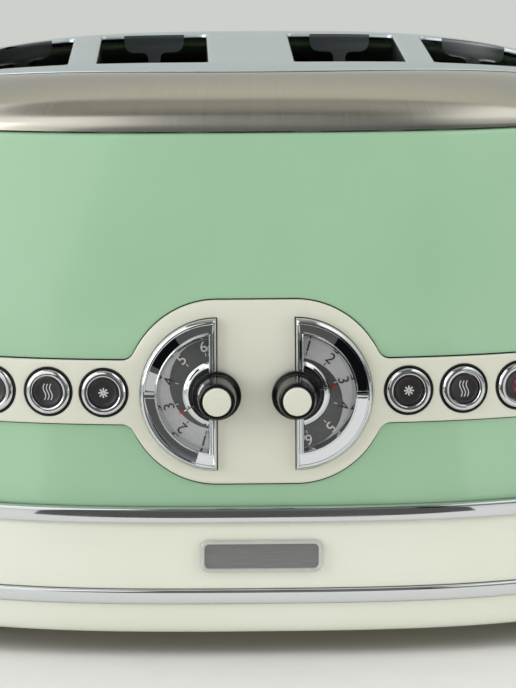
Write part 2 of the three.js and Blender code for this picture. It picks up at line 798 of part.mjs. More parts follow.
for (const side of [left, right]) {
  const name = sideName(side);
  for (const { x, step } of slots.filter((slot) => slot.side === side)) {
    add(`bread_rack_${name}_${step === 0 ? "inner" : "outer"}`, makeRack(x), looks.zinc);
  }
  add("lift_carriage_" + name, makeCarriage(side), looks.zinc);
  add("lever_knob_" + name, makeLeverKnob(side), looks.cream);
  const rod = barZ(rodRadius, side * pairCentre, rodY, [legBottom, rodTop], postSteps);
  add("guide_rod_" + name, rod, looks.chrome);
  const springX = side * (pairCentre - springOffset);
  const springSpan = [carriageTop + clearance, bracketHeight - clearance];
  const spring = barZ(springRadius, springX, rodY, springSpan, postSteps);
  const hollow = barZ(springBore, springX, rodY, [frameBottom, frameTop], postSteps);
  add("return_spring_" + name, spring.subtract(hollow), looks.zinc);
  const magnetX = side * (pairCentre + magnetOffset);
  const coilTop = carriageBottom - leverTravel - clearance;
  const coil = box(
    [magnetX - magnetHalfWidth, magnetX + magnetHalfWidth],
    [rodY - magnetHalfDepth, rodY + magnetHalfDepth],
    [coilTop - magnetCoil, coilTop],
  );
  const stand = box(
    [magnetX - magnetStand, magnetX + magnetStand],
    [rodY - magnetStand, rodY + magnetStand],
    [legBottom, coilTop - magnetCoil / 2],
  );
  add("holding_magnet_" + name, coil.add(stand), looks.grey);
}

// Dials: bright half rings with a bar, a face behind them, and the pointer over both
const rimFront = frontFace - bezelProud;
const hubFront = rimFront + hubRecess;
const faceFront = hubFront + hubThickness + clearance;
const pointerBack = hubFront - clearance;
const knobBack = pointerBack - pointerThickness - clearance;

function makeBezel(side) {
  const profile = [
    [dialRadius, rimFront + bezelDepth],
    [dialRadius, rimFront + bezelSlope],
    [dialRadius - bezelSlope, rimFront],
    [dialRadius - bezelRim, rimFront],
    [dialRadius - bezelRim - bezelSlope, rimFront + channelDepth],
    [channelRadius + bezelSlope, rimFront + channelDepth],
    [channelRadius, rimFront + channelDepth - bezelSlope],
    [channelRadius, rimFront + bezelDepth],
    [dialRadius, rimFront + bezelDepth],
  ];
  const depth = [hubFront, hubFront + hubThickness];
  const outer = turned(profile, onDial(side), 2 * roundSteps);
  const hub = turned(pipeProfile(hubRadius, hubBore, depth), onDial(side));
  const rise = [dialHeight - dialRadius, dialHeight + dialRadius];
  const bar = box(spanOn(side, dialOffset, dialOffset + barWidth), depth, rise);
  const round = turned(rodProfile(dialRadius - bezelRim, depth), onDial(side), 2 * roundSteps);
  const shaft = turned(rodProfile(shaftRadius + buttonGap, [rimFront, 0]), onDial(side));
  const whole = outer.add(hub).add(bar.intersect(round)).intersect(dialHalf(side, 0));
  return whole.subtract(shaft);
}

function makeFace(side) {
  const disc = rodProfile(channelRadius - clearance, [faceFront, faceFront + faceThickness]);
  const shaft = turned(rodProfile(shaftRadius + buttonGap, [rimFront, 0]), onDial(side));
  const round = turned(disc, onDial(side), 2 * roundSteps);
  return round.intersect(dialHalf(side, clearance)).subtract(shaft);
}

function makeKnob(side) {
  const along = (share) => knobBack - knobLength * share;
  const seat = capRadius + clearance;
  const profile = [
    [0, knobBack + shaftLength],
    [shaftRadius, knobBack + shaftLength],
    [shaftRadius, knobBack],
    [knobRadius, knobBack],
    [knobRadius, knobBack - knobSkirt],
    [knobRadius - bezelSlope, along(skirtShares[0])],
    [knobNeck + bezelSlope, along(skirtShares[1])],
    [knobNeck, along(skirtShares[2])],
    [knobNeck - bezelSlope, along(1)],
    [seat, along(1)],
    [seat, along(1) + capSeat],
    [0, along(1) + capSeat],
  ];
  return turned(profile, onDial(side));
}

function makeCap(side) {
  const tip = knobBack - knobLength;
  const profile = [
    [0, tip + capSeat - clearance],
    [capRadius, tip + capSeat - clearance],
    [capRadius, tip - capProud + bezelSlope],
    [capRadius - bezelSlope, tip - capProud],
    [0, tip - capProud],
  ];
  return turned(profile, onDial(side));
}

function makePointer(side, setting) {
  const options = { depth: pointerThickness, bevelEnabled: false };
  const half = pointerWidth / 2;
  const spread = Math.asin(half / pointerHub);
  const [start, end] = [quarterTurn + spread, 2 * halfTurn + quarterTurn - spread];
  const round = arcPoints(0, 0, pointerHub, start, end, 2 * postSteps);
  const tip = [[half, pointerReach - half], [0, pointerReach], [-half, pointerReach - half]];
  const outline = shapeOf([...round, ...tip]);
  const bore = arcPoints(0, 0, shaftRadius + clearance, 0, -2 * halfTurn, 2 * postSteps);
  outline.holes.push(shapeOf(bore.slice(1)));
  const geometry = new THREE.ExtrudeGeometry(outline, options).rotateX(quarterTurn);
  geometry.translate(0, pointerBack, 0).rotateY((setting * halfTurn) / 180);
  return solidOf(onDial(side)(geometry));
}

for (const [side, setting] of [[left, leftSetting], [right, rightSetting]]) {
  const name = sideName(side);
  add("dial_bezel_" + name, makeBezel(side), looks.chrome);
  add("dial_face_" + name, makeFace(side), looks.grey);
  add("dial_pointer_" + name, makePointer(side, setting), looks.red);
  add("knob_" + name, makeKnob(side), looks.black);
  add("knob_cap_" + name, makeCap(side), looks.cream);
}

// Push buttons with a bright ring, a dished centre and a stem that stops short of its switch
const switchTop = boardFront - switchHeight;

function makeButton(seat) {
  const rimInner = buttonRadius - buttonRim;
  const dish = buttonDish - buttonProud;
  const rim = rimShares.map(([out, up]) => [rimInner + buttonRim * out, -buttonProud * up]);
  const tilt = buttonStem * Math.sin(Math.abs(seat.turn));
  const stemEnd = (switchTop - clearance - tilt - seat.y) / Math.cos(seat.turn) - buttonTravel;
  const profile = [
    [0, stemEnd],
    [buttonStem, stemEnd],
    [buttonStem, buttonDepth],
    [buttonRadius, buttonDepth],
    ...rim,
    [rimInner, dish],
    [0, dish],
  ];
  return turned(profile, onButton(seat));
}
for (const seat of seats) {
  add(`button_${sideName(seat.side)}_${seat.use}`, makeButton(seat), looks.chrome);
}

// Control board with the two dial potentiometers and a switch behind each button
function makeBoard() {
  const boardBack = boardFront + boardThickness;
  const rise = [dialHeight - boardHalfHeight, dialHeight + boardHalfHeight];
  let board = box([-boardHalfWidth, boardHalfWidth], [boardFront, boardBack], rise);
  for (const { x, y, turn } of seats) {
    const at = x - (switchTop - y) * Math.tan(turn);
    const height = [beltHeight - switchHalf, beltHeight + switchHalf];
    board = board.add(box([at - switchHalf, at + switchHalf], [switchTop, boardBack], height));
  }
  for (const side of [left, right]) {
    const body = barY(potRadius, side * dialOffset, dialHeight, [boardFront - potLength, boardBack]);
    const bore = [boardFront - potLength - overrun, knobBack + shaftLength + clearance];
    board = board.add(body);
    board = board.subtract(barY(shaftRadius + clearance, side * dialOffset, dialHeight, bore));
  }
  return board;
}
add("control_board", makeBoard(), looks.board);

// Base: a moulded skirt with an upstand inside the body and a groove for the lower strip
const spigotInset = bodyInset + bodyWall + clearance;
const stripTop = lowerStripBottom + stripHeight;
const baseLine = baseInset + baseWall;
function strip(backInset, bottom, top) {
  const bulge = baseInset - stripBulge;
  const profile = [
    [backInset, bottom],
    [bulge + stripEdge, bottom],
    [bulge + stripEdge * sideShare, bottom + (top - bottom) * edgeShare],
    [bulge, bottom + (top - bottom) * crestShare],
    [bulge + stripEdge * sideShare, top - (top - bottom) * edgeShare],
    [bulge + stripEdge, top],
    [backInset, top],
  ];
  return band(profile.map(([inset, z]) => caseRing(inset, z)));
}
function traySpan(side, gap) {
  return spanOn(side, frameInner + legWidth + trayGap - gap, trayOuter + gap);
}

function makeBase() {
  const lip = lowerStripBottom - footHeight;
  const profile = [
    ...lipShares.map(([out, up]) => [baseInset + baseRound * out, footHeight + lip * up]),
    [baseInset, lowerStripBottom - clearance],
    [baseInset + stripSeat, lowerStripBottom - clearance],
    [baseInset + stripSeat, stripTop + clearance],
    [baseInset, stripTop + clearance],
    [baseInset, baseTop - baseRound],
    [baseInset + baseRound / 2, baseTop],
    [spigotInset, baseTop],
    [spigotInset, spigotTop],
    [spigotInset + spigotWall, spigotTop],
    [spigotInset + spigotWall, baseTop - spigotWall],
    [baseLine, baseTop - 2 * spigotWall],
    [baseLine, footHeight],
  ];
  let base = band(profile.map(([inset, z]) => caseRing(inset, z)));
  const mouth = [frameHalfLength, caseHalfDepth + overrun];
  for (const side of [left, right]) {
    const height = [trayFaceBottom - clearance, trayFaceTop + clearance];
    base = base.subtract(box(traySpan(side, clearance), mouth, height));
  }
  return base.subtract(barY(inletRadius + clearance, 0, inletHeight, mouth));
}
add("base_shell", makeBase(), looks.cream);
const lowerStrip = strip(baseInset + stripSeat - clearance, lowerStripBottom, stripTop);
const upperStrip = strip(spigotInset - clearance, baseTop + clearance, bodyBottom - clearance);
add("lower_trim_strip", lowerStrip, looks.chrome);
add("upper_trim_strip", upperStrip, looks.chrome);

// Base plate with rows of vent slots, and the feet
function makeBasePlate() {
  const ventReach = [-ventLength / 2, ventLength / 2];
  const ventHeights = [basePlateBottom - overrun, plateTop + overrun];
  let plate = caseBlock(baseLine + clearance, [basePlateBottom, plateTop]);
  for (const side of [left, right]) {
    for (let row = 0; row < ventRows; row++) {
      const x = side * pairCentre + ventPitch * (row - (ventRows - 1) / 2);
      const span = [x - ventWidth / 2, x + ventWidth / 2];
      plate = plate.subtract(box(span, ventReach, ventHeights));
    }
  }
  return plate;
}
add("base_plate", makeBasePlate(), looks.grey);
for (const [end, y] of [["front", -footY], ["back", footY]]) {
  for (const side of [left, right]) {
    const foot = barZ(footRadius, side * footX, y, [0, basePlateBottom - clearance]);
    add(`foot_${end}_${sideName(side)}`, foot, looks.rubber);
  }
}

// Badge plate: a raised rim round a bare field
function roundedPlate(width, height, corner) {
  const [x, z] = [width / 2 - corner, height / 2 - corner];
  const corners = [[x, z], [-x, z], [-x, -z], [x, -z]];
  const points = corners.flatMap(([cx, cz], i) => {
    const centre = [cx + badgeShift, cz + badgeCentre];
    return arcPoints(...centre, corner, i * quarterTurn, (i + 1) * quarterTurn, arcSteps / 2);
  });
  return shapeOf(points);
}

function makeBadge() {
  const seat = -(caseHalfDepth - baseInset) - clearance;
  const outline = roundedPlate(badgeWidth, badgeHeight, badgeCorner);
  const [width, height] = [badgeWidth - 2 * badgeRim, badgeHeight - 2 * badgeRim];
  const field = roundedPlate(width, height, badgeCorner - badgeRim / 2);
  const plate = plateY(outline, [seat - badgeThickness, seat]);
  return plate.subtract(plateY(field, [seat - overrun, seat - badgeThickness + badgeField]));
}
add("badge_plate", makeBadge(), looks.brushed);

// Crumb trays: a shallow tray with a face that closes the mouth in the base
function makeTray(side) {
  const span = traySpan(side, 0);
  const height = [trayBottom, trayBottom + trayDepth];
  const faceHeight = [trayFaceBottom, trayFaceTop];
  const faceReach = [frameHalfLength, caseHalfDepth + overrun];
  const inside = caseBlock(baseInset + trayFaceDepth, faceHeight);
  const outside = caseBlock(baseInset, faceHeight);
  const roomSpan = [span[0] + trayWall, span[1] - trayWall];
  const roomReach = [trayWall - trayFront, caseHalfDepth];
  const room = box(roomSpan, roomReach, [trayBottom + trayWall, trayBottom + overrun]);
  const blank = box(span, [-trayFront, caseHalfDepth], height);
  const tray = blank.intersect(caseBlock(baseInset + trayFaceDepth / 2, height));
  const face = outside.subtract(inside).intersect(box(span, faceReach, faceHeight));
  const pullMiddle = (span[0] + span[1]) / 2;
  const pullSpan = [pullMiddle - trayPullHalf, pullMiddle + trayPullHalf];
  const pullHeight = [trayBottom, trayBottom + trayPullHeight];
  const lip = caseBlock(baseInset - trayPull, pullHeight).subtract(inside);
  const pull = lip.intersect(box(pullSpan, faceReach, pullHeight));
  return tray.subtract(room.intersect(inside)).add(face).add(pull);
}
add("crumb_tray_left", makeTray(left), looks.zinc);
add("crumb_tray_right", makeTray(right), looks.zinc);

// Cord inlet: a bushing in the back wall, with the terminal block inside
const backFace = caseHalfDepth - baseInset;
const inletProfile = [
  [inletBore, backFace + inletProud],
  [inletFlange, backFace + inletProud],
  [inletFlange, backFace + clearance],
  [inletRadius, backFace + clearance],
  [inletRadius, backFace - baseWall - inletInside],
  [inletBore, backFace - baseWall - inletInside],
  [inletBore, backFace + inletProud],
];
const inlet = turned(inletProfile, (geometry) => geometry.translate(0, 0, inletHeight));
add("cord_inlet", inlet, looks.rubber);
const terminal = box(
  [-terminalHalfWidth, terminalHalfWidth],
  [terminalBack - terminalDepth, terminalBack],
  [legBottom, legBottom + terminalHeight],
);
add("terminal_block", terminal, looks.black);

// The origin is under the middle between the knob caps and the cord inlet.
const frontEnd = knobBack - knobLength - capProud;
const backEnd = backFace + inletProud;
assembly.position.y = -(frontEnd + backEnd) / 2;

export default toaster;
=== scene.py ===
# %% [markdown]
# # A four-slice toaster in enamel, steel and chrome
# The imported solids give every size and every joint. This script dresses them: smooth shells in
# place of facets, rolled edges, finishes, printed numbers, a camera and plain studio light.
# Shapes are worked out in millimetres, in the frame the solids were drawn in, and placed at the end.

import math
from contextlib import contextmanager

import bmesh
import bpy
import numpy as np
from mathutils import Matrix, Vector
from mathutils import geometry as flat_geometry


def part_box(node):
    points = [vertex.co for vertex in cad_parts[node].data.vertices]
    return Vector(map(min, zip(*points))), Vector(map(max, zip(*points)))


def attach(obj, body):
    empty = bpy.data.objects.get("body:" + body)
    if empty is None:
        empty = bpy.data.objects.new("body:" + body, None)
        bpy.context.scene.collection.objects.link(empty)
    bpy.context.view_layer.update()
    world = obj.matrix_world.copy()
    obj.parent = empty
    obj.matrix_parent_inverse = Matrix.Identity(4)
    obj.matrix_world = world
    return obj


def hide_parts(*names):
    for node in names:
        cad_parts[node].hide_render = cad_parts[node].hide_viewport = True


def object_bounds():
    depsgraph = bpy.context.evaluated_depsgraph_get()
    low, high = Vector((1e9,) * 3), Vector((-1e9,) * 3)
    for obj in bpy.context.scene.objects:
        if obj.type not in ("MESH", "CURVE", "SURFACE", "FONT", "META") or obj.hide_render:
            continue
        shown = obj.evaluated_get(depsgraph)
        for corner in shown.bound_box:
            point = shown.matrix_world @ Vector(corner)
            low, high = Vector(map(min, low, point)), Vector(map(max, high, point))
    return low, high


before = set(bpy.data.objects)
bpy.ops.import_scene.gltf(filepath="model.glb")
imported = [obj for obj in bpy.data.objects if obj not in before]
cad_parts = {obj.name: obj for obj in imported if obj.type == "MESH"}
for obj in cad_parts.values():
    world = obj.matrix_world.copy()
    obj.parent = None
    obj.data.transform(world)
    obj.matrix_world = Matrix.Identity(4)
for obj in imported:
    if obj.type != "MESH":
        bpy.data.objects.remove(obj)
cad_box = [list(corner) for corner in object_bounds()]

# %% [markdown]
# ## Sizes
# The case is a rounded box whose outline is a superellipse: an oval with a squareness of about
# three instead of two. One formula with a few sizes therefore gives the body, the lid, the base
# and both trim strips. These are the sizes of the solids, so the smooth shells lie on them.

# %% Sizes of the case, in millimetres
MM = 0.001
SIDES = {"left": -1, "right": 1}
CASE_HALF = (166.0, 142.0)
CASE_SQUARE = 2.8
BASE_INSET = 1.0
BASE_WALL = 4.2
FOOT_HEIGHT = 9.1
BASE_TOP = 50.8
BODY_BOTTOM = 56.1
BODY_INSET = 4.0
JOINT = 194.3
JOINT_SQUARE = 3.0
LEAN_START = 88.0
LEAN_POWER = 2.2
LEAN_INWARDS = (10.0, 13.0)
DECK_TOP = 215.0
DECK_HALF = (128.0, 91.0)
DECK_SQUARE = 2.2
CROWN_DROP = 9.3
CROWN_POWER = 4
BORDER_DROP = 1.2
BORDER_SHARE = 0.72
SEAM_DROP = 0.45
BELT = 99.3
PANEL_PROUD = 2.0
DIAL_HEIGHT = 98.75
DIAL_OFFSET = 14.7
LEVER_SLOT = (99.0, 171.0)
LEVER_SLOT_HALF = 3.2
CLEARANCE = 0.3
INLET_PROUD = 5.0
DEPTH_SHIFT = cad_box[1][1] / MM - (CASE_HALF[1] - BASE_INSET + INLET_PROUD)
print("the drawing lies", round(DEPTH_SHIFT, 3), "mm in front of the packed frame")


def crown(x):
    """How far the deck has fallen at a distance from the middle."""
    return CROWN_DROP * (np.abs(x) / DECK_HALF[0]) ** CROWN_POWER


def lean(z):
    """From 0 at the straight lower body to 1 at the joint with the lid."""
    return np.clip((np.asarray(z, float) - LEAN_START) / (JOINT - LEAN_START), 0, None) ** LEAN_POWER


def wide(z):
    """Half width of the body at a height."""
    return CASE_HALF[0] - BODY_INSET - LEAN_INWARDS[0] * lean(z)


def deep(z):
    """Half depth of the body at a height."""
    return CASE_HALF[1] - BODY_INSET - LEAN_INWARDS[1] * lean(z)


def square(z):
    """Squareness of the body's outline at a height."""
    return CASE_SQUARE + (JOINT_SQUARE - CASE_SQUARE) * lean(z)


# %% [markdown]
# ## Mesh helpers
# Most shells are lofts: a ring of points at each height, joined in turn. The points are spread
# evenly along each ring, because even faces bend a reflection smoothly. Each loft also gets a UV
# map in metres, with u round the case and v up it, which the brushed steel reads for its grain.

# %% Rings and bands
AROUND = 288


def outline(half_x, half_y, power, count=AROUND):
    """A superellipse as points at equal distances."""
    turn = np.linspace(0, 2 * np.pi, 6001)
    c, s = np.cos(turn), np.sin(turn)
    x = half_x * np.sign(c) * np.abs(c) ** (2 / power)
    y = half_y * np.sign(s) * np.abs(s) ** (2 / power)
    run = np.concatenate([[0], np.cumsum(np.hypot(np.diff(x), np.diff(y)))])
    at = np.arange(count) / count * run[-1]
    return np.column_stack([np.interp(at, run, x), np.interp(at, run, y)])


def ring(half_x, half_y, power, height):
    """An outline at a height, which may be a rule that takes x."""
    flat = outline(half_x, half_y, power)
    z = height(flat[:, 0]) if callable(height) else np.full(len(flat), height)
    return np.column_stack([flat, z])


def body_ring(offset, z):
    return ring(wide(z) + offset, deep(z) + offset, square(z), z)


def loft(rings, closed=True):
    """Faces and UV corners of rings joined in turn, the last to the first if closed."""
    count = len(rings[0])
    around = np.arange(count + 1) * np.linalg.norm(rings[0] - np.roll(rings[0], 1, axis=0), axis=1).mean()
    steps = [np.linalg.norm(rings[k] - rings[k - 1], axis=1).mean() for k in range(1, len(rings))]
    up = np.concatenate([[0], np.cumsum(steps + [1.0])])
    faces, corners = [], []
    for level in range(len(rings) if closed else len(rings) - 1):
        low, high = level * count, (level + 1) % len(rings) * count
        for i in range(count):
            j = (i + 1) % count
            faces.append((low + i, low + j, high + j, high + i))
            u0, u1, v0, v1 = around[i], around[i + 1], up[level], up[level + 1]
            corners += [(u0 * MM, v0 * MM), (u1 * MM, v0 * MM), (u1 * MM, v1 * MM), (u0 * MM, v1 * MM)]
    return np.concatenate(rings), faces, corners


def wall(count):
    """Faces between a loop of points and a second loop that follows it."""
    return [(i, (i + 1) % count, count + (i + 1) % count, count + i) for i in range(count)]


def rungs(total, first=0):
    """Faces across a flat band whose points go up one side and back down the other."""
    last = first + total - 1
    return [(first + i, first + i + 1, last - 1 - i, last - i) for i in range(total // 2 - 1)]


# %% Objects
@contextmanager
def editing(made):
    """Opens the mesh of an object for changes, and then turns its faces outwards."""
    bm = bmesh.new()
    bm.from_mesh(made.data)
    yield bm
    bmesh.ops.recalc_face_normals(bm, faces=bm.faces)
    bm.to_mesh(made.data)
    bm.free()


def smooth(made, sharp=38):
    """Shades an object smooth, with edges kept sharp from an angle in degrees."""
    made.data.shade_smooth()
    made.data.set_sharp_from_angle(angle=math.radians(sharp))


def merge(made, sharp=38):
    with editing(made) as bm:
        bmesh.ops.remove_doubles(bm, verts=bm.verts, dist=1e-6)
    smooth(made, sharp)


def link_new(name, data):
    made = bpy.data.objects.new(name, data)
    bpy.context.scene.collection.objects.link(made)
    return made


def make_object(name, points, faces, corners=None, sharp=38):
    """A mesh object whose place is in its points; corners are UV pairs, one for each face corner."""
    points = (np.asarray(points, float) + [0, DEPTH_SHIFT, 0]) * MM
    mesh = bpy.data.meshes.new(name)
    mesh.from_pydata(points.tolist(), [], faces)
    layer = mesh.uv_layers.new(name="UVMap")
    if corners is None:
        loops = np.zeros(len(mesh.loops), int)
        mesh.loops.foreach_get("vertex_index", loops)
        corners = points[loops][:, [0, 2]]
    layer.data.foreach_set("uv", np.asarray(corners, float).ravel())
    made = link_new(name, mesh)
    merge(made, sharp)
    return made


def case_band(name, profile, sharp=38):
    """A band round the case, from pairs of inset and height."""
    rings = [ring(CASE_HALF[0] - inset, CASE_HALF[1] - inset, CASE_SQUARE, z) for inset, z in profile]
    return make_object(name, *loft(rings), sharp=sharp)


def settle(made):
    """Applies every modifier, so that a plain mesh is left."""
    bpy.context.view_layer.update()
    graph = bpy.context.evaluated_depsgraph_get()
    mesh = bpy.data.meshes.new_from_object(made.evaluated_get(graph), depsgraph=graph)
    made.modifiers.clear()
    made.data = mesh


def cut(made, tools, operation="DIFFERENCE", sharp=38):
    """Takes tool objects out of a piece, or keeps what they share with it."""
    for tool in tools:
        step = made.modifiers.new("cut", "BOOLEAN")
        step.operation = operation
        step.solver = "EXACT"
        step.object = tool
        settle(made)
        bpy.data.objects.remove(tool)
    smooth(made, sharp)


def join(name, parts):
    """One object from several, in the order given."""
    bm = bmesh.new()
    for part in parts:
        bm.from_mesh(part.data)
        bpy.data.objects.remove(part)
    mesh = bpy.data.meshes.new(name)
    bm.to_mesh(mesh)
    bm.free()
    return link_new(name, mesh)


def block(name, x, y, z, edge=0.0):
    """A block between two places on each axis, with its edges rounded."""
    lows, highs = [[min(pair) for pair in (x, y, z)], [max(pair) for pair in (x, y, z)]]
    points = [[(lows, highs)[b][a] for a, b in enumerate(bits)] for bits in np.ndindex(2, 2, 2)]
    faces = [(0, 1, 3, 2), (4, 6, 7, 5), (0, 4, 5, 1), (2, 3, 7, 6), (0, 2, 6, 4), (1, 5, 7, 3)]
    made = make_object(name, points, faces, sharp=30)
    if edge:
        step = made.modifiers.new("edge", "BEVEL")
        step.width = edge * MM
        step.segments = 2
        settle(made)
        smooth(made, 50)
    return made


def at_depth(flat, y):
    """Points in x and z, put at a depth."""
    flat = np.asarray(flat, float)
    return np.column_stack([flat[:, 0], np.full(len(flat), y), flat[:, 1]])


def prism(name, points, y):
    """A flat outline in x and z, made thick between two depths."""
    count = len(points)
    faces = wall(count) + [tuple(range(count)), tuple(reversed(range(count, 2 * count)))]
    return make_object(name, np.concatenate([at_depth(points, at) for at in y]), faces, sharp=30)


def turned(name, profile, centre, steps=96, turn=0.0):
    """A lathe piece: a profile of radius and depth, turned round a line that runs to the back."""
    profile = np.asarray(profile, float)
    angle = np.arange(steps) / steps * 2 * np.pi
    circle_points = np.column_stack([np.cos(angle), np.sin(angle)])
    rings = [at_depth(radius * circle_points, depth) for radius, depth in profile]
    points, faces, corners = loft(rings, closed=bool(profile[0, 0] > 0))
    spin = np.array(Matrix.Rotation(turn, 3, "Z"))
    return make_object(name, points @ spin.T + np.asarray(centre, float), faces, corners)


print("helpers ready,", AROUND, "points round the case")

# %% [markdown]
# ## Which piece rides where
# Every piece moves with one body of the model, takes a finish, and may stand for some of the plain
# solids, which are then hidden.

# %% Dress a body with a piece
dressed = []


def dress(piece, body, slot, finish, *nodes):
    """Gives a piece its finish, its body and the solids that it stands for. The slot is not used."""
    piece.data.materials.clear()
    piece.data.materials.append(finish)
    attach(piece, body)
    if nodes:
        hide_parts(*nodes)
    dressed.append(piece)


# %% [markdown]
# ## Camera
# The picture was taken with a long lens from a little above the dials. The place, the tilt and the
# lens below put the dials, the slots, the strips and the joint of the lid where they are in it.

# %% Camera
camera = link_new("camera", bpy.data.cameras.new("camera"))
CAMERA_PLACE = Vector((-0.0256, -1.7989, 0.3704))
YAW, PITCH, ROLL = 0.0158, 0.1507, -0.0055
ahead = Vector((math.sin(YAW) * math.cos(PITCH), math.cos(YAW) * math.cos(PITCH), -math.sin(PITCH)))
level = Vector((math.cos(YAW), -math.sin(YAW), 0))
upright = level.cross(ahead)
right_edge = level * math.cos(ROLL) + upright * math.sin(ROLL)
top_edge = upright * math.cos(ROLL) - level * math.sin(ROLL)
turned_camera = Matrix((right_edge, top_edge, -ahead)).transposed().to_4x4()
camera.matrix_world = Matrix.Translation(CAMERA_PLACE) @ turned_camera
camera.data.lens = 239.4
camera.data.sensor_width = 36
camera.data.clip_end = 50
bpy.context.scene.camera = camera
bpy.context.scene.view_settings.view_transform = "Standard"
print("camera at", tuple(round(v, 3) for v in CAMERA_PLACE))

# %% [markdown]
# ## Studio
# The floor and the backdrop are one pale, even tone, so the floor is a wide disc that fades into
# the colour of the world. Metal looks like what it mirrors, so only mirror rays see the rest: a dim
# room in front with a light box on each side, whose dark frames give the bands of the lid and the
# strips, and a paler room behind.

# %% Colours and nodes


def linear(code):
    """An sRGB hex code as the linear colour that the nodes take."""
    shares = [int(code[i : i + 2], 16) / 255 for i in (1, 3, 5)]
    curved = [s / 12.92 if s <= 0.04045 else ((s + 0.055) / 1.055) ** 2.4 for s in shares]
    return (*curved, 1)


def add(tree, kind, inputs=(), stops=(), **settings):
    """Adds a node. An input takes a value, a socket, or a node whose first output is meant. Stops
    are the places and hex codes of a colour ramp."""
    made = tree.nodes.new(kind)
    for key, value in settings.items():
        setattr(made, key, value)
    while stops and len(made.color_ramp.elements) < len(stops):
        made.color_ramp.elements.new(0.5)
    for at, (place, code) in enumerate(stops):
        made.color_ramp.elements[at].position = place
        made.color_ramp.elements[at].color = linear(code)
    for key, value in dict(inputs).items():
        source = value.outputs[0] if isinstance(value, bpy.types.Node) else value
        if isinstance(source, bpy.types.NodeSocket):
            tree.links.new(source, made.inputs[key])
        else:
            made.inputs[key].default_value = source
    return made


def emptied(owner):
    """The node tree of a world or a material, with nothing in it."""
    owner.use_nodes = True
    owner.node_tree.nodes.clear()
    return owner.node_tree


# %% Directions in the world
# raised goes from 0 straight down to 1 straight up.
BACKDROP = "#cdd0cb"
world = bpy.data.worlds.new("studio")
bpy.context.scene.world = world
sky = emptied(world)
direction = add(sky, "ShaderNodeSeparateXYZ", {0: add(sky, "ShaderNodeTexCoord").outputs["Generated"]})
aside, forward, height = direction.outputs
raised = add(sky, "ShaderNodeMath", {0: height, 1: 0.5, 2: 0.5}, operation="MULTIPLY_ADD")
from_middle = add(sky, "ShaderNodeMath", {0: aside}, operation="ABSOLUTE")
to_right = add(sky, "ShaderNodeMapRange", {0: aside, 1: -0.05, 2: 0.05})
slant = add(sky, "ShaderNodeMapRange", {0: aside, 1: -0.05, 2: 0.05, 3: 1.0, 4: 0.2})
slanted = add(sky, "ShaderNodeMath", {0: from_middle, 1: slant}, operation="MULTIPLY")
past_crease = add(sky, "ShaderNodeMath", {0: forward, 1: slanted}, operation="SUBTRACT")
in_front = add(sky, "ShaderNodeMapRange", {0: past_crease, 1: 0.22, 2: 0.15})

# %% What mirrors see in front
room_stops = [
    (0.0, "#8a8a88"), (0.5, "#5f6265"), (0.64, "#7a7c80"), (0.78, "#6a6a69"), (0.93, "#4c4b47"),
    (0.985, "#9a9992"), (1.0, "#a9a8a0"),
]
left_stops = [(0.3, "#d0d0cc"), (0.5, "#f4f4f2"), (0.62, "#dadad8"), (0.75, "#f5f5f3"), (0.85, "#ffffff")]
right_stops = [
    (0.3, "#d0d0cc"), (0.42, "#848688"), (0.52, "#6a6c6e"), (0.6, "#6a6c6e"), (0.67, "#b1b1af"),
    (0.8, "#c7c7c5"), (0.88, "#ffffff"),
]
frame_stops = [(0.37, "#ffffff"), (0.40, "#3c3c3e"), (0.47, "#1c1c1e"), (0.51, "#ffffff")]
BOX_GAIN = (1.3, 1.3, 1.3, 1)
room = add(sky, "ShaderNodeValToRGB", {0: raised}, room_stops)
left_box = add(sky, "ShaderNodeValToRGB", {0: raised}, left_stops)
right_box = add(sky, "ShaderNodeValToRGB", {0: raised}, right_stops)
boxes = add(sky, "ShaderNodeMix", {0: to_right, 6: left_box, 7: right_box}, data_type="RGBA").outputs[2]
gain = {0: 1.0, 6: boxes, 7: BOX_GAIN}
bright_boxes = add(sky, "ShaderNodeMix", gain, data_type="RGBA", blend_type="MULTIPLY").outputs[2]
left_low = add(sky, "ShaderNodeMapRange", {0: height, 1: 0.0, 2: 0.45, 3: 0.45, 4: 0.12})
left_high = add(sky, "ShaderNodeMapRange", {0: height, 1: 0.83, 2: 0.90, 3: 0.0, 4: 0.38})
left_limit = add(sky, "ShaderNodeMath", {0: left_low, 1: left_high}, operation="ADD")
right_limit = add(sky, "ShaderNodeMapRange", {0: height, 1: 0.3, 2: 0.6, 3: 0.43, 4: 0.33})
limit = add(sky, "ShaderNodeMix", {0: to_right, 2: left_limit, 3: right_limit}, data_type="FLOAT")
past_edge = add(sky, "ShaderNodeMath", {0: from_middle, 1: limit}, operation="SUBTRACT")
in_box = add(sky, "ShaderNodeMapRange", {0: past_edge, 1: -0.02, 2: 0.06})
near_edge = add(sky, "ShaderNodeMath", {0: past_edge, 1: 0.5}, operation="ADD")
box_frame = add(sky, "ShaderNodeValToRGB", {0: near_edge}, frame_stops)
low_down = add(sky, "ShaderNodeMapRange", {0: raised, 1: 0.70, 2: 0.58})
framing = {0: low_down, 6: room, 7: box_frame}
framed = add(sky, "ShaderNodeMix", framing, data_type="RGBA", blend_type="MULTIPLY").outputs[2]
front = add(sky, "ShaderNodeMix", {0: in_box, 6: framed, 7: bright_boxes}, data_type="RGBA").outputs[2]

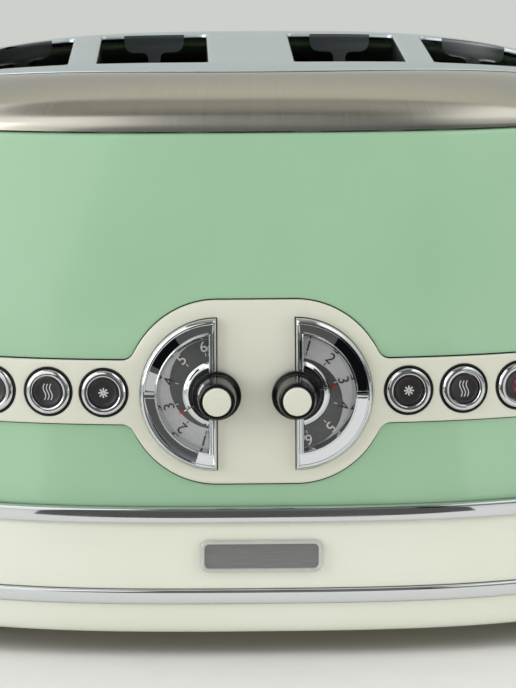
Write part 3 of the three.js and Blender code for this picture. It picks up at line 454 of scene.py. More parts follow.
# %% What mirrors see behind, and what lights the matt surfaces
rear_stops = [
    (0.0, "#d8d8d4"), (0.57, BACKDROP), (0.64, "#b4b6b2"), (0.74, "#bcbdb8"), (0.85, "#cbcbc4"),
    (0.94, "#d6d6cd"), (1.0, "#d6d6cd"),
]
soft_stops = [
    (0.0, "#d8d8d4"), (0.47, "#d8d8d4"), (0.5, "#8f9191"), (0.68, "#8f9191"), (0.85, "#b8b9b8"),
    (1.0, "#e6e6e2"),
]
pale_stops = [(0.0, "#d8d8d4"), (0.5, BACKDROP), (0.75, "#e2e3df"), (1.0, "#e6e6e2")]
rear = add(sky, "ShaderNodeValToRGB", {0: raised}, rear_stops)
soft = add(sky, "ShaderNodeValToRGB", {0: raised}, soft_stops)
pale = add(sky, "ShaderNodeValToRGB", {0: raised}, pale_stops)
half_front = add(sky, "ShaderNodeMapRange", {0: forward, 1: 0.05, 2: -0.35})
rays = add(sky, "ShaderNodeLightPath").outputs
seen_rays = {0: rays["Is Camera Ray"], 1: rays["Is Transmission Ray"]}
seen = add(sky, "ShaderNodeMath", seen_rays, operation="ADD", use_clamp=True)
mirrored = add(sky, "ShaderNodeMix", {0: in_front, 6: rear, 7: front}, data_type="RGBA").outputs[2]
shining = add(sky, "ShaderNodeMix", {0: half_front, 6: pale, 7: soft}, data_type="RGBA").outputs[2]
sorted_rays = {0: rays["Is Glossy Ray"], 6: shining, 7: mirrored}
lit = add(sky, "ShaderNodeMix", sorted_rays, data_type="RGBA").outputs[2]
colour = add(sky, "ShaderNodeMix", {0: seen, 6: lit, 7: linear(BACKDROP)}, data_type="RGBA").outputs[2]
glow = add(sky, "ShaderNodeBackground", {"Strength": 1.0, "Color": colour})
add(sky, "ShaderNodeOutputWorld", {"Surface": glow})
print("world with a dim front, two light boxes and", len(sky.nodes), "nodes")

# %% Floor and card
# The floor glows a little where it is near, as the light that bounces about a real studio does.
FLOOR_PAINT = [(0.3, "#dbdbdc"), (0.7, "#dfdfe0")]
FLOOR_BOUNCE = (0.052, 0.047, 0.03, 1)
floor_finish = bpy.data.materials.new("pale painted studio floor")
tree = emptied(floor_finish)
spot = add(tree, "ShaderNodeTexCoord").outputs["Object"]
away = add(tree, "ShaderNodeVectorMath", {0: spot}, operation="LENGTH").outputs["Value"]
fade = add(tree, "ShaderNodeMapRange", {0: away, 1: 0.42, 2: 0.95}, interpolation_type="SMOOTHSTEP")
grain = add(tree, "ShaderNodeTexNoise", {"Vector": spot, "Scale": 60.0, "Detail": 3.0})
paint = add(tree, "ShaderNodeValToRGB", {0: grain}, FLOOR_PAINT)
painted = add(tree, "ShaderNodeBsdfDiffuse", {"Color": paint})
bounce = add(tree, "ShaderNodeEmission", {"Color": FLOOR_BOUNCE, "Strength": 1.0})
near = add(tree, "ShaderNodeAddShader", {0: painted, 1: bounce})
far = add(tree, "ShaderNodeEmission", {"Color": linear(BACKDROP), "Strength": 1.0})
mixed = add(tree, "ShaderNodeMixShader", {0: fade, 1: near, 2: far})
add(tree, "ShaderNodeOutputMaterial", {"Surface": mixed})

bpy.ops.mesh.primitive_circle_add(vertices=96, radius=6.0, fill_type="NGON")
floor = bpy.context.object
floor.name = "studio_floor"
floor.data.materials.append(floor_finish)


def mirror_only(card, code):
    """Gives a card an even glow that only mirrors see, so it paints a reflection on the metal, and keeps it
    out of the toaster.
    """
    finish = bpy.data.materials.new(card.name)
    nodes_of_card = emptied(finish)
    even = add(nodes_of_card, "ShaderNodeEmission", {"Color": linear(code), "Strength": 1.0})
    add(nodes_of_card, "ShaderNodeOutputMaterial", {"Surface": even})
    card.data.materials.append(finish)
    for kind in ("camera", "diffuse", "transmission", "volume_scatter", "shadow"):
        setattr(card, "visible_" + kind, False)


# The card in front of the base is a painted reflection: a dim glow that darkens the strips where they would
# mirror the pale floor.
CARD_HEIGHT = 0.03
CARD_NEAR = (0.15, -0.235)
CARD_FAR = (1.35, -2.6)
card_corners = [(-1, CARD_NEAR), (1, CARD_NEAR), (1, CARD_FAR), (-1, CARD_FAR)]
card_mesh = bpy.data.meshes.new("card")
card_mesh.from_pydata([(s * half, y, CARD_HEIGHT) for s, (half, y) in card_corners], [], [(0, 1, 2, 3)])
mirror_only(link_new("studio_card", card_mesh), "#5a5957")
print("floor, and a card in front of the base")

# %% Lamps


def lamp(name, place, size, power, colour, mirrors=False):
    """A lamp that faces the toaster; one that mirrors don't see leaves no patch on the metal."""
    light = bpy.data.lights.new(name, "AREA")
    light.shape = "RECTANGLE"
    light.size, light.size_y = size
    light.energy = power
    light.color = linear(colour)[:3]
    holder = link_new(name, light)
    holder.location = place
    holder.rotation_euler = (Vector((0, 0, 0.12)) - Vector(place)).to_track_quat("-Z", "Y").to_euler()
    holder.visible_glossy = mirrors


lamp("window_left", (-2.3, -1.15, 0.95), (1.2, 1.7), 25, "#ffffff", mirrors=True)
lamp("window_right", (2.3, -1.25, 0.95), (1.2, 1.7), 20.5, "#fffcf8")
lamp("overhead", (0.0, 0.35, 2.3), (2.6, 2.4), 19, "#ffffff")
lamp("low_fill", (0.0, -1.9, 0.06), (2.2, 0.1), 6.0, "#fffaf2")
print("four lamps")

# %% [markdown]
# ## Finishes
# Each finish starts from the real material. Enamel and moulded plastic have a clear gloss over a
# colour, with a faint ripple from the spray or the mould. Chrome is a mirror whose only mark is a
# little haze. Brushed steel has fine lines along the way it was brushed, which stretch every
# reflection across them. The lines of real brushing are far finer than a pixel, so they are drawn
# about half a millimetre wide here.

# %% Build a finish


def start(name, code, roughness, metallic=0.0, **sockets):
    """A new material with its tree and its shader. A socket is named with _ for each space."""
    made = bpy.data.materials.new(name)
    tree = emptied(made)
    values = {"Base Color": linear(code), "Roughness": roughness, "Metallic": metallic}
    values.update({key.replace("_", " "): value for key, value in sockets.items()})
    shader = add(tree, "ShaderNodeBsdfPrincipled", values)
    add(tree, "ShaderNodeOutputMaterial", {"Surface": shader})
    return made, tree, shader


def grains(tree, size, detail=2.0, coordinates="Object"):
    """Noise with grains of a size in millimetres, or of three sizes, one for each axis."""
    sizes = size if isinstance(size, tuple) else (size,) * 3
    spot = add(tree, "ShaderNodeTexCoord").outputs[coordinates]
    place = add(tree, "ShaderNodeMapping", {"Vector": spot, "Scale": [1 / (mm * MM) for mm in sizes]})
    return add(tree, "ShaderNodeTexNoise", {"Vector": place, "Scale": 1.0, "Detail": detail})


def wander(tree, shader, source, colours=(), roughness=(), height_mm=0.0, strength=0.5):
    """Lets the colour and the roughness wander with a pattern, and raises a bump of a real height."""
    if colours:
        tint = add(tree, "ShaderNodeValToRGB", {0: source}, list(zip((0.3, 0.7), colours)))
        tree.links.new(tint.outputs[0], shader.inputs["Base Color"])
    if roughness:
        values = {0: source, 1: 0.3, 2: 0.7, 3: roughness[0], 4: roughness[1]}
        tree.links.new(add(tree, "ShaderNodeMapRange", values).outputs[0], shader.inputs["Roughness"])
    if height_mm:
        values = {"Height": source, "Strength": strength, "Distance": height_mm * MM}
        tree.links.new(add(tree, "ShaderNodeBump", values).outputs[0], shader.inputs["Normal"])


def gloss(name, low, high, roughness, coat, ripple_mm=0.01, ripple_size=3.0):
    """Sprayed enamel or glossy moulded plastic."""
    made, tree, shader = start(name, high, roughness, Coat_Weight=coat, Coat_Roughness=0.06)
    wander(tree, shader, grains(tree, 70), (low, high))
    wander(tree, shader, grains(tree, ripple_size), height_mm=ripple_mm, strength=0.6)
    return made


def brushed(name, low, high, roughness, lines, anisotropic):
    """Steel brushed along u or v; lines gives the size of a line along u, v and the third axis."""
    made, tree, shader = start(name, high, roughness, 1.0, Anisotropic=anisotropic)
    spread = (roughness * 0.88, roughness * 1.15)
    wander(tree, shader, grains(tree, lines, 3.0, "UV"), (low, high), spread, 0.01, 0.2)
    along = add(tree, "ShaderNodeTangent", direction_type="UV_MAP", uv_map="UVMap")
    tree.links.new(along.outputs[0], shader.inputs["Tangent"])
    return made


def plated(name, code, roughness):
    """Polished chrome plate with a little haze."""
    made, tree, shader = start(name, code, roughness, 1.0)
    wander(tree, shader, grains(tree, 25), roughness=(roughness * 0.7, roughness * 1.6))
    return made


def matt(name, low, high, roughness, size_mm=2.0, height_mm=0.02, metallic=0.0):
    """A plain surface with a fine texture: rubber, printed ink, board or zinc."""
    made, tree, shader = start(name, high, roughness, metallic)
    wander(tree, shader, grains(tree, size_mm), (low, high), (), height_mm)
    return made


# %% The finishes of the toaster
mint_enamel = gloss("mint enamel on pressed steel", "#9cc4a3", "#a2c9a7", 0.22, 0.5)
cream_abs = gloss("cream moulded ABS", "#d8d9cb", "#dcddcf", 0.32, 0.25, 0.006, 2.0)
# The base is the same cream plastic as the panel; this paler copy paints in the stronger light that falls on
# the base.
lit_base_abs = gloss("cream ABS of the base, paler for painted light", "#e3e6d8", "#e7eadd", 0.3, 0.3, 0.006, 2.0)
black_abs = gloss("black gloss ABS", "#060606", "#0a0a0a", 0.13, 0.0, 0.004, 4.0)
lid_steel = brushed("brushed stainless steel", "#c5c1b5", "#cac6bb", 0.23, (0.45, 40.0, 1.0), 0.7)
deck_steel = brushed("satin stainless steel", "#dce8eb", "#e4eff2", 0.42, (40.0, 0.6, 1.0), 0.3)
# The tongues are the deck's own steel; their dark grey is painted shade from inside the slots.
shaded_tongue_steel = brushed("deck steel painted dark for shade", "#5c6060", "#6b6f6f", 0.35, (40.0, 0.6, 1.0), 0.3)
# The side folds are the deck's own steel; their near black is painted shade from inside the slots.
shaded_fold_steel = brushed("deck steel painted black for shade", "#0e0f0f", "#161717", 0.4, (40.0, 0.6, 1.0), 0.3)
chrome = plated("polished chrome plate", "#dfe2e4", 0.05)
grey_print = matt("grey printed dial", "#b0b1b3", "#b7b8ba", 0.45, 1.5, 0.004)
dark_print = matt("charcoal printed dial", "#484a4a", "#4f5151", 0.45, 1.5, 0.004)
pale_ink = matt("pale printing ink", "#c4c5c3", "#cdcecc", 0.5, 1.0, 0.002)
dark_ink = matt("dark printing ink", "#2d2d2d", "#343434", 0.5, 1.0, 0.002)
red_paint = gloss("red pointer paint", "#8e1d2a", "#992531", 0.4, 0.05)
dish_abs = gloss("charcoal moulded ABS", "#282627", "#2e2c2d", 0.3, 0.2, 0.003, 2.0)
badge_steel = brushed("brushed zinc casting", "#898a89", "#979897", 0.42, (12.0, 0.45, 1.0), 0.5)
badge_rim = matt("silver lacquered zinc casting", "#c6c6c4", "#cecdca", 0.3, 3.0, 0.002, 0.3)
rubber = matt("black moulded rubber", "#161616", "#1d1d1d", 0.75, 1.2, 0.03)
# Near black: partly heat stain, mostly painted shade for the deep chambers.
stained_and_shaded_zinc = matt("heat stained zinc sheet, darkened for painted shade", "#131414", "#1c1d1d", 0.5, 6.0, 0.01, 0.8)
zinc = matt("zinc plated sheet", "#77797a", "#8b8d8d", 0.42, 6.0, 0.01, 0.9)
wire_steel = plated("bright steel wire", "#a9aaab", 0.25)
# The mica's brown is darkened for the shade deep in the slots: partly its own colour, partly painted shade.
mica = matt("mica sheet", "#4a4436", "#5a5241", 0.6, 5.0, 0.02)
board_green = matt("green circuit board", "#245a38", "#2c6642", 0.5, 2.0, 0.01)
grey_paint = matt("grey powder coat", "#7f8180", "#8a8c8b", 0.6, 1.0, 0.04)
magnet_iron = matt("varnished coil and iron", "#4c3a2c", "#5c4838", 0.5, 1.0, 0.05)
print(len(bpy.data.materials), "materials")

# %% [markdown]
# ## Body
# The body is one pressed steel shell, sprayed and baked. It is straight below the belt and leans in
# towards the lid. The loft follows the same formula as the solid, with rolled edges at the joint
# and at the strip. A window is cut behind the front panel, and a slot for each lever.

# %% Outline of the front panel
FIELD_RADIUS = 34.2
FIELD_FILLET = 5.0
BELT_HALF = 11.9


def arc(x, y, radius, start_turn, end_turn, steps):
    """Points along an arc, between two turns in radians."""
    turn = np.linspace(start_turn, end_turn, steps + 1)
    return np.column_stack([x + radius * np.cos(turn), y + radius * np.sin(turn)])


def panel_outline(shrink, reach, belt_steps=70):
    """The belt with its round field, in x and z, with the same number of points for any shrink."""
    half, radius, fillet = BELT_HALF - shrink, FIELD_RADIUS - shrink, FIELD_FILLET + shrink
    rise = half + fillet
    run = math.sqrt((radius + fillet) ** 2 - rise**2)
    turn = math.atan2(rise, run)
    bend = arc(DIAL_OFFSET + run, rise, fillet, -math.pi / 2, turn - math.pi, 8)
    straight = np.linspace([reach - shrink, half], bend[0], belt_steps + 1)[:-1]
    end = np.linspace([reach - shrink, 0], [reach - shrink, half], 6)[:-1]
    crest = arc(DIAL_OFFSET, 0, radius, turn, math.pi / 2, 30)[1:]
    top = np.linspace([DIAL_OFFSET, radius], [0, radius], 9)[1:]
    quarter = np.concatenate([end, straight, bend, crest, top])
    left = (quarter[::-1] * [-1, 1])[1:]
    upper = np.concatenate([quarter, left])
    lower = (upper[::-1] * [1, -1])[1:-1]
    return np.concatenate([upper, lower]) + [0, BELT]


# %% Body shell
STEEL = 1.2
WINDOW_SHRINK = 1.6
WINDOW_REACH = 110
rolled = [(-0.7, 0.0), (-0.2, 0.25), (0.0, 0.9)]
tucked = [(0.0, 1.2), (-0.35, 0.35), (-STEEL, 0.0)]
outside = [body_ring(offset, BODY_BOTTOM + rise) for offset, rise in rolled]
outside += [body_ring(0, z) for z in np.linspace(BODY_BOTTOM + 2, JOINT - 2.2, 44)]
outside += [body_ring(offset, JOINT - CLEARANCE - drop) for offset, drop in tucked]
flange = [body_ring(-5, JOINT - CLEARANCE), body_ring(-5, JOINT - 1.5), body_ring(-1.6, JOINT - 1.5)]
inside = [body_ring(-STEEL, z) for z in np.linspace(JOINT - 3, BODY_BOTTOM + 0.1, 12)]
body = make_object("enamel_body", *loft(outside + flange + inside))
window = prism("window", panel_outline(WINDOW_SHRINK, WINDOW_REACH), (-170, -30))
across = (-LEVER_SLOT_HALF, LEVER_SLOT_HALF)
slots = [block("lever_way", (130 * s, 190 * s), across, LEVER_SLOT) for s in SIDES.values()]
cut(body, [window, *slots])
dress(body, "case", "mint_enamel", mint_enamel, "body_shell")
print("body", len(body.data.polygons), "faces")

# %% [markdown]
# ## Lid and deck
# The lid is a spun steel shoulder between the body and the oval deck. The deck is a separate plate
# that falls a little towards its ends, with a fine black strip round it that stands for the shadow of the
# seam: painted shade.
# Its four slots have rolled rims. Their long sides are folded down, and a tongue hangs at each end of a
# slot; both are painted dark for the shade inside the slots.

# %% Lid


def lid_ring(share, offset=0.0):
    """A ring of the shoulder: 0 at the joint with the body, 1 at the deck."""
    out, rise = math.cos(share * math.pi / 2), math.sin(share * math.pi / 2)
    half_x = DECK_HALF[0] + (wide(JOINT) - DECK_HALF[0]) * out - offset
    half_y = DECK_HALF[1] + (deep(JOINT) - DECK_HALF[1]) * out - offset
    power = DECK_SQUARE + (JOINT_SQUARE - DECK_SQUARE) * out
    full = DECK_TOP - BORDER_DROP - SEAM_DROP - JOINT - offset
    return ring(half_x, half_y, power, lambda x: JOINT + (full - crown(x)) * rise)


def seat_ring(inset, drop):
    """A ring of the ledge that the deck lies on."""
    half_x, half_y = DECK_HALF[0] - inset, DECK_HALF[1] - inset
    return ring(half_x, half_y, DECK_SQUARE, lambda x: DECK_TOP - BORDER_DROP - crown(x) - drop)


lid_rings = [lid_ring(0, 0.8), *[lid_ring(share) for share in np.linspace(0.012, 1, 36)]]
lid_rings += [seat_ring(inset, drop) for inset, drop in [(0.05, 1.2), (0.1, 1.9), (4, 1.9), (4, 3.1)]]
lid_rings += [lid_ring(share, STEEL) for share in np.linspace(0.97, 0, 10)]
lid = make_object("steel_lid", *loft(lid_rings))
dress(lid, "case", "brushed_steel", lid_steel, "lid_shell")
# A black strip round the deck stands for the shadow of the seam: painted shade.
deck_shade_profile = [(0.5, 0.3), (0.15, 0.4), (0.12, 1.88), (0.58, 1.88)]
deck_shade_strip = make_object("black_deck_shade_strip", *loft([seat_ring(inset, drop) for inset, drop in deck_shade_profile]))
dress(deck_shade_strip, "case", "black_rubber", rubber)
print("lid", len(lid.data.polygons), "faces")

# %% Plates with rolled rims


def inside_of(points, loop):
    """Which points lie inside a closed loop."""
    x, y = points[:, 0][:, None], points[:, 1][:, None]
    a, b = loop, np.roll(loop, -1, axis=0)
    crosses = (a[:, 1] > y) != (b[:, 1] > y)
    slope = (b[:, 0] - a[:, 0]) / np.where(b[:, 1] == a[:, 1], 1e-12, b[:, 1] - a[:, 1])
    return (crosses & (x < a[:, 0] + (y - a[:, 1]) * slope)).sum(axis=1) % 2 == 1


def plate(name, rims, thickness, spacing, surface, sharp=38):
    """A curved plate. Each rim is a list of loops and depths, from the flat top outwards and down.
    surface turns places on the plate and a depth below its face into points in space."""
    tops = [rim[0][0] for rim in rims]
    lows, highs = tops[0].min(axis=0), tops[0].max(axis=0)
    grid = [np.arange(low + spacing / 2, high, spacing) for low, high in zip(lows, highs)]
    filler = np.stack(np.meshgrid(*grid), axis=-1).reshape(-1, 2)
    kept = inside_of(filler, tops[0])
    for top in tops[1:]:
        kept &= ~inside_of(filler, top)
    filler = filler[kept]
    everything = np.concatenate(tops)
    gaps = np.array([np.hypot(*(everything - point).T).min() for point in filler])
    filler = filler[gaps > spacing * 0.45]
    flat = np.concatenate([everything, filler])
    edges, first = [], 0
    for top in tops:
        edges += [(first + i, first + (i + 1) % len(top)) for i in range(len(top))]
        first += len(top)
    points2d, _, triangles, origins, _, _ = flat_geometry.delaunay_2d_cdt(
        [Vector(p) for p in flat.tolist()], edges, [], 0, 1e-5
    )
    flat = np.array([tuple(p) for p in points2d])
    triangles = np.array(triangles)
    middles = flat[triangles].mean(axis=1)
    kept = inside_of(middles, tops[0])
    for top in tops[1:]:
        kept &= ~inside_of(middles, top)
    triangles = triangles[kept]
    where = {source: at for at, sources in enumerate(origins) for source in sources}
    points = [surface(flat, np.zeros(len(flat))), surface(flat, np.full(len(flat), thickness))]
    domain = [flat, flat]
    faces = [tuple(t) for t in triangles] + [tuple(t[::-1] + len(flat)) for t in triangles]
    total, first = 2 * len(flat), 0
    for rim in rims:
        count = len(rim[0][0])
        upper = [where[first + i] for i in range(count)]
        lower = [at + len(flat) for at in upper]
        first += count
        for loop, depth in rim[1:]:
            points.append(surface(loop, np.full(count, depth)))
            domain.append(loop)
            here = list(range(total, total + count))
            total += count
            pairs = [(i, (i + 1) % count) for i in range(count)]
            faces += [(upper[i], upper[j], here[j], here[i]) for i, j in pairs]
            upper = here
        faces += [(upper[i], upper[(i + 1) % count], lower[(i + 1) % count], lower[i]) for i in range(count)]
    domain = np.concatenate(domain) * MM
    corners = [domain[v] for face in faces for v in face]
    return make_object(name, np.concatenate(points), faces, corners, sharp)


def roll(loop_at, radius, thickness, steps=4):
    """A rim that rolls over by a quarter turn; loop_at gives the loop for an inset."""
    rim = []
    for k in range(steps + 1):
        turn = k / steps * math.pi / 2
        rim.append((loop_at(radius * (1 - math.sin(turn))), radius * (1 - math.cos(turn))))
    return [*rim, (loop_at(0), max(thickness - radius / 2, radius + 0.15))]


# %% Deck with its slots
SLOT_WIDTH = 42.5
INNER_SLOT = 37.85
SLOT_PITCH = 53.8
SLOT_CORNER = 2.2
SLOT_ENDS = (114.5, 65.5, 3.1)
slot_places = [side * (INNER_SLOT + step * SLOT_PITCH) for side in (-1, 1) for step in (0, 1)]


def slot_end(x):
    """Half length of a slot at a place across it: the ends follow the curve of the deck."""
    half_x, half_y, power = SLOT_ENDS
    return half_y * np.clip(1 - (np.abs(x) / half_x) ** power, 0, None) ** (1 / power)


def slot_loop(x, grow, steps=26):
    """Outline of a slot, grown by an amount, with rounded corners."""
    half = SLOT_WIDTH / 2 + grow
    corner = SLOT_CORNER + grow
    across = np.linspace(-half + corner, half - corner, steps)
    far = [[x + at, slot_end(x + at) + grow] for at in across]
    reach_left, reach_right = slot_end(x - half + corner) + grow, slot_end(x + half - corner) + grow
    right_turn = arc(x + half - corner, reach_right - corner, corner, math.pi / 2, 0, 6)[1:]
    left_turn = arc(x - half + corner, reach_left - corner, corner, math.pi, math.pi / 2, 6)[:-1]
    side = np.linspace(1, -1, 30)[1:-1]
    right_side = [[x + half, (reach_right - corner) * s] for s in side]
    left_side = [[x - half, (reach_left - corner) * -s] for s in side]
    upper = np.concatenate([left_turn, far, right_turn])
    lower = upper[::-1] * [1, -1]
    return np.concatenate([upper, right_side, lower, left_side])


def deck_surface(flat, depth):
    """The crowned deck, whose border rolls down a little towards its edge."""
    x, y = np.abs(flat[:, 0]) / DECK_HALF[0], np.abs(flat[:, 1]) / DECK_HALF[1]
    share = (x**DECK_SQUARE + y**DECK_SQUARE) ** (1 / DECK_SQUARE)
    border = np.clip((share - BORDER_SHARE) / (1 - BORDER_SHARE), 0, 1)
    return np.column_stack([flat, DECK_TOP - crown(flat[:, 0]) - BORDER_DROP * border**2 - depth])


DECK_GAUGE = 1.6
SLOT_ROLL = 1.4


def deck_loop(inset):
    return outline(DECK_HALF[0] - 0.6 - inset, DECK_HALF[1] - 0.6 - inset, DECK_SQUARE, 320)


deck_rims = [roll(deck_loop, 0.7, DECK_GAUGE)]
deck_rims += [roll(lambda inset, x=x: slot_loop(x, inset), SLOT_ROLL, DECK_GAUGE) for x in slot_places]
deck = plate("steel_deck", deck_rims, DECK_GAUGE, 4.0, deck_surface)
dress(deck, "case", "satin_steel", deck_steel, "top_deck")
print("deck", len(deck.data.polygons), "faces")

# %% Folds along the slots and tongues at their ends
# Each row of a tongue has a half width, a drop below the deck and a set back behind the slot's end.
FOLD = 0.8
FOLD_FOOT = 198
TONGUE_LEAN = 0.14
TONGUE_FOOT = (2.5, 17.0)
TONGUE_ROWS = [
    (12.2, 0.48, 0.32), (12.2, 0.66, 0.18), (12.2, 0.88, 0.06), (12.2, 1.4, -0.04), (12.2, 2.0, 0),
    (12.0, 4.4, 0), (11.0, 6.4, 0), (9.2, 7.4, 0), (4.6, 7.5, 0), (3.2, 8.0, 0), (2.5, 9.4, 0),
]


def side_fold(x, side):
    edge = x + side * SLOT_WIDTH / 2
    reach = float(slot_end(edge)) - SLOT_CORNER
    top = float(DECK_TOP - crown(edge)) - 0.7
    return block("fold", (edge, edge + side * FOLD), (-reach, reach), (FOLD_FOOT, top), 0.2)


def tongue(x, end, count=13):
    """A tongue that bends out of the deck at one end of a slot and hangs down on a narrow neck."""
    rows = []
    for half, drop, back in [*TONGUE_ROWS, (TONGUE_FOOT[0], TONGUE_FOOT[1] - crown(x), 0)]:
        at = x + np.linspace(-half, half, count)
        end_of_slot = slot_end(at) - TONGUE_LEAN * drop
        z = DECK_TOP - crown(at)
        near = np.column_stack([at, end * (end_of_slot + back), z - drop])
        far = np.column_stack([at, end * (end_of_slot + FOLD), z - max(drop, 1.2)])
        rows.append(np.concatenate([near, far[::-1]]))
    points, faces, corners = loft(rows, closed=False)
    size = 2 * count
    faces += [tuple(range(size)), tuple(range(len(points) - size, len(points)))[::-1]]
    return make_object("tongue", points, faces, corners + [(0, 0)] * (2 * size))


folds = [side_fold(x, side) for x in slot_places for side in (-1, 1)]
tongues = [tongue(x, end) for x in slot_places for end in (-1, 1)]
# The folds' near black is painted shade.
dress(join("steel_side_folds", folds), "case", "satin_steel", shaded_fold_steel)
# The tongues' dark grey is painted shade.
dress(join("steel_tongues", tongues), "case", "satin_steel", shaded_tongue_steel)
print(len(folds), "folds and", len(tongues), "tongues")

# %% [markdown]
# ## Front panel
# The belt and the round field are one cream moulding that stands a little off the body and follows
# its curve. It is laid out flat, as distance round the case against height, and then bent onto the
# case, so its holes for the dials and the buttons are cut in the flat sheet.

# %% Bend a flat sheet onto the belt
turn = np.linspace(-np.pi / 2, 0, 4001)
belt_x = (wide(BELT) + PANEL_PROUD) * np.abs(np.cos(turn)) ** (2 / CASE_SQUARE)
belt_y = -(deep(BELT) + PANEL_PROUD) * np.abs(np.sin(turn)) ** (2 / CASE_SQUARE)
belt_run = np.concatenate([[0], np.cumsum(np.hypot(np.diff(belt_x), np.diff(belt_y)))])
PANEL_END = float(np.interp(-30, belt_y, belt_run))
BUTTON_X = {"defrost": 56.4, "reheat": 77.0, "cancel": 97.8}
BUTTON_RUN = {use: float(np.interp(x, belt_x, belt_run)) for use, x in BUTTON_X.items()}
FIELD_FLAT = 29.2
FIELD_BORDER = 6
FIELD_FALL = 0.7


def belt_surface(flat, depth):
    """Places along the belt and heights, bent onto the case; depth goes into the case."""
    run, z = flat[:, 0], flat[:, 1]
    x = np.interp(np.abs(run), belt_run, belt_x) * np.sign(run)
    y = np.interp(np.abs(run), belt_run, belt_y)
    share_x = (wide(z) + PANEL_PROUD - depth) / (wide(BELT) + PANEL_PROUD)
    share_y = (deep(z) + PANEL_PROUD - depth) / (deep(BELT) + PANEL_PROUD)
    return np.column_stack([x * share_x, y * share_y, z])


def field_surface(flat, depth):
    """The belt, with the upper and lower border of the field falling away a little."""
    rise = np.abs(flat[:, 1] - BELT)
    out = np.hypot(np.clip(np.abs(flat[:, 0]) - DIAL_OFFSET, 0, None), rise)
    near_edge = np.clip((out - FIELD_FLAT) / FIELD_BORDER, 0, 1)
    border = near_edge * np.clip((rise - BELT_HALF) / FIELD_BORDER, 0, 1)
    return belt_surface(flat, depth + FIELD_FALL * border**2)


# %% Half discs and rings of holes
DIAL_RADIUS = 28.2
BUTTON_HOLE = 9.25
PANEL_GAUGE = 1.7
PANEL_SPACING = 3.2
SHADE_LINE_DEPTH = 1.72
SHADE_LINE_GAUGE = 0.22


def half_disc(side, radius, line, steps=48, along=24):
    """The outer half of a disc round a dial centre, beyond a line, as x and z."""
    reach = math.acos(line / radius)
    bend = arc(0, 0, radius, -reach, reach, steps)
    top, bottom = bend[-1], bend[0]
    chord = np.linspace(top, bottom, along + 1)[1:-1]
    loop = np.concatenate([bend, chord])
    return loop * [side, 1] + [side * DIAL_OFFSET, DIAL_HEIGHT]


def circle(x, z, radius, steps=64):
    return arc(x, z, radius, 0, 2 * math.pi, steps)[:-1]


def dial_hole(side, inset):
    return half_disc(side, DIAL_RADIUS + CLEARANCE + inset, -CLEARANCE - inset)


def button_hole(run, inset):
    return circle(run, BELT, BUTTON_HOLE + inset)


panel_rims = [roll(lambda inset: panel_outline(inset, PANEL_END), 0.8, PANEL_GAUGE)]
for side in SIDES.values():
    panel_rims.append(roll(lambda inset, s=side: dial_hole(s, inset), 0.3, PANEL_GAUGE, 2))
    for run in BUTTON_RUN.values():
        rim = roll(lambda inset, at=side * run: button_hole(at, inset), 0.35, PANEL_GAUGE, 3)
        panel_rims.append(rim)
panel = plate("cream_front_panel", panel_rims, PANEL_GAUGE, PANEL_SPACING, field_surface)
dress(panel, "case", "cream_plastic", cream_abs, "control_panel")


# A thin black strip round the panel, in the gap to the body, stands for the shadow in that gap: painted
# shade.
def gasket_surface(flat, depth):
    return belt_surface(flat, depth + SHADE_LINE_DEPTH)


shade_line_rims = [[(panel_outline(shrink, PANEL_END), 0.0)] for shrink in (-0.45, 1.3)]
panel_shade_line = plate("black_panel_shade_line", shade_line_rims, SHADE_LINE_GAUGE, PANEL_SPACING, gasket_surface)
dress(panel_shade_line, "case", "black_rubber", rubber)
print("front panel", len(panel.data.polygons), "faces")

# %% Lever panels
LEVER_HALF = 15.0
LEVER_TOP = 184
LEVER_CORNER = 5


def lever_outline(side, shrink):
    """The belt goes on into an upright field, in distance round the case and height."""
    half, low, high = LEVER_HALF - shrink, BELT - BELT_HALF + shrink, BELT + BELT_HALF - shrink
    side_run = float(belt_run[-1])
    begin = PANEL_END + CLEARANCE + shrink
    crown_at = LEVER_TOP - LEVER_HALF
    fillet, corner = LEVER_CORNER + shrink, LEVER_CORNER - shrink
    loop = [
        np.linspace([begin, low], [side_run + half - corner, low], 12)[:-1],
        arc(side_run + half - corner, low + corner, corner, -math.pi / 2, 0, 6),
        np.linspace([side_run + half, low + corner], [side_run + half, crown_at], 24)[1:-1],
        arc(side_run, crown_at, half, 0, math.pi, 24),
        np.linspace([side_run - half, crown_at], [side_run - half, high + fillet], 16)[1:-1],
        arc(side_run - half - fillet, high + fillet, fillet, 0, -math.pi / 2, 6),
        np.linspace([side_run - half - fillet, high], [begin, high], 6)[1:],
    ]
    return np.concatenate(loop) * [side, 1]


def side_surface(flat, depth):
    """As the belt, but going on behind the widest line of the case."""
    run = np.abs(flat[:, 0])
    mirrored_run = np.where(run > belt_run[-1], 2 * belt_run[-1] - run, run)
    points = belt_surface(np.column_stack([mirrored_run, flat[:, 1]]), depth)
    points[:, 0] *= np.sign(flat[:, 0])
    points[:, 1] *= np.where(run > belt_run[-1], -1, 1)
    return points


def slot_hole(side, grow):
    """The slot that the lever runs in."""
    side_run, half = float(belt_run[-1]), LEVER_SLOT_HALF + grow
    near, far = side_run + half, side_run - half
    low, high = LEVER_SLOT[0] - grow, LEVER_SLOT[1] + grow
    corners = [[near, low], [near, high], [far, high], [far, low], [near, low]]
    steps = (30, 5, 30, 5)
    loop = [np.linspace(corners[k], corners[k + 1], steps[k])[:-1] for k in range(4)]
    return np.concatenate(loop) * [side, 1]


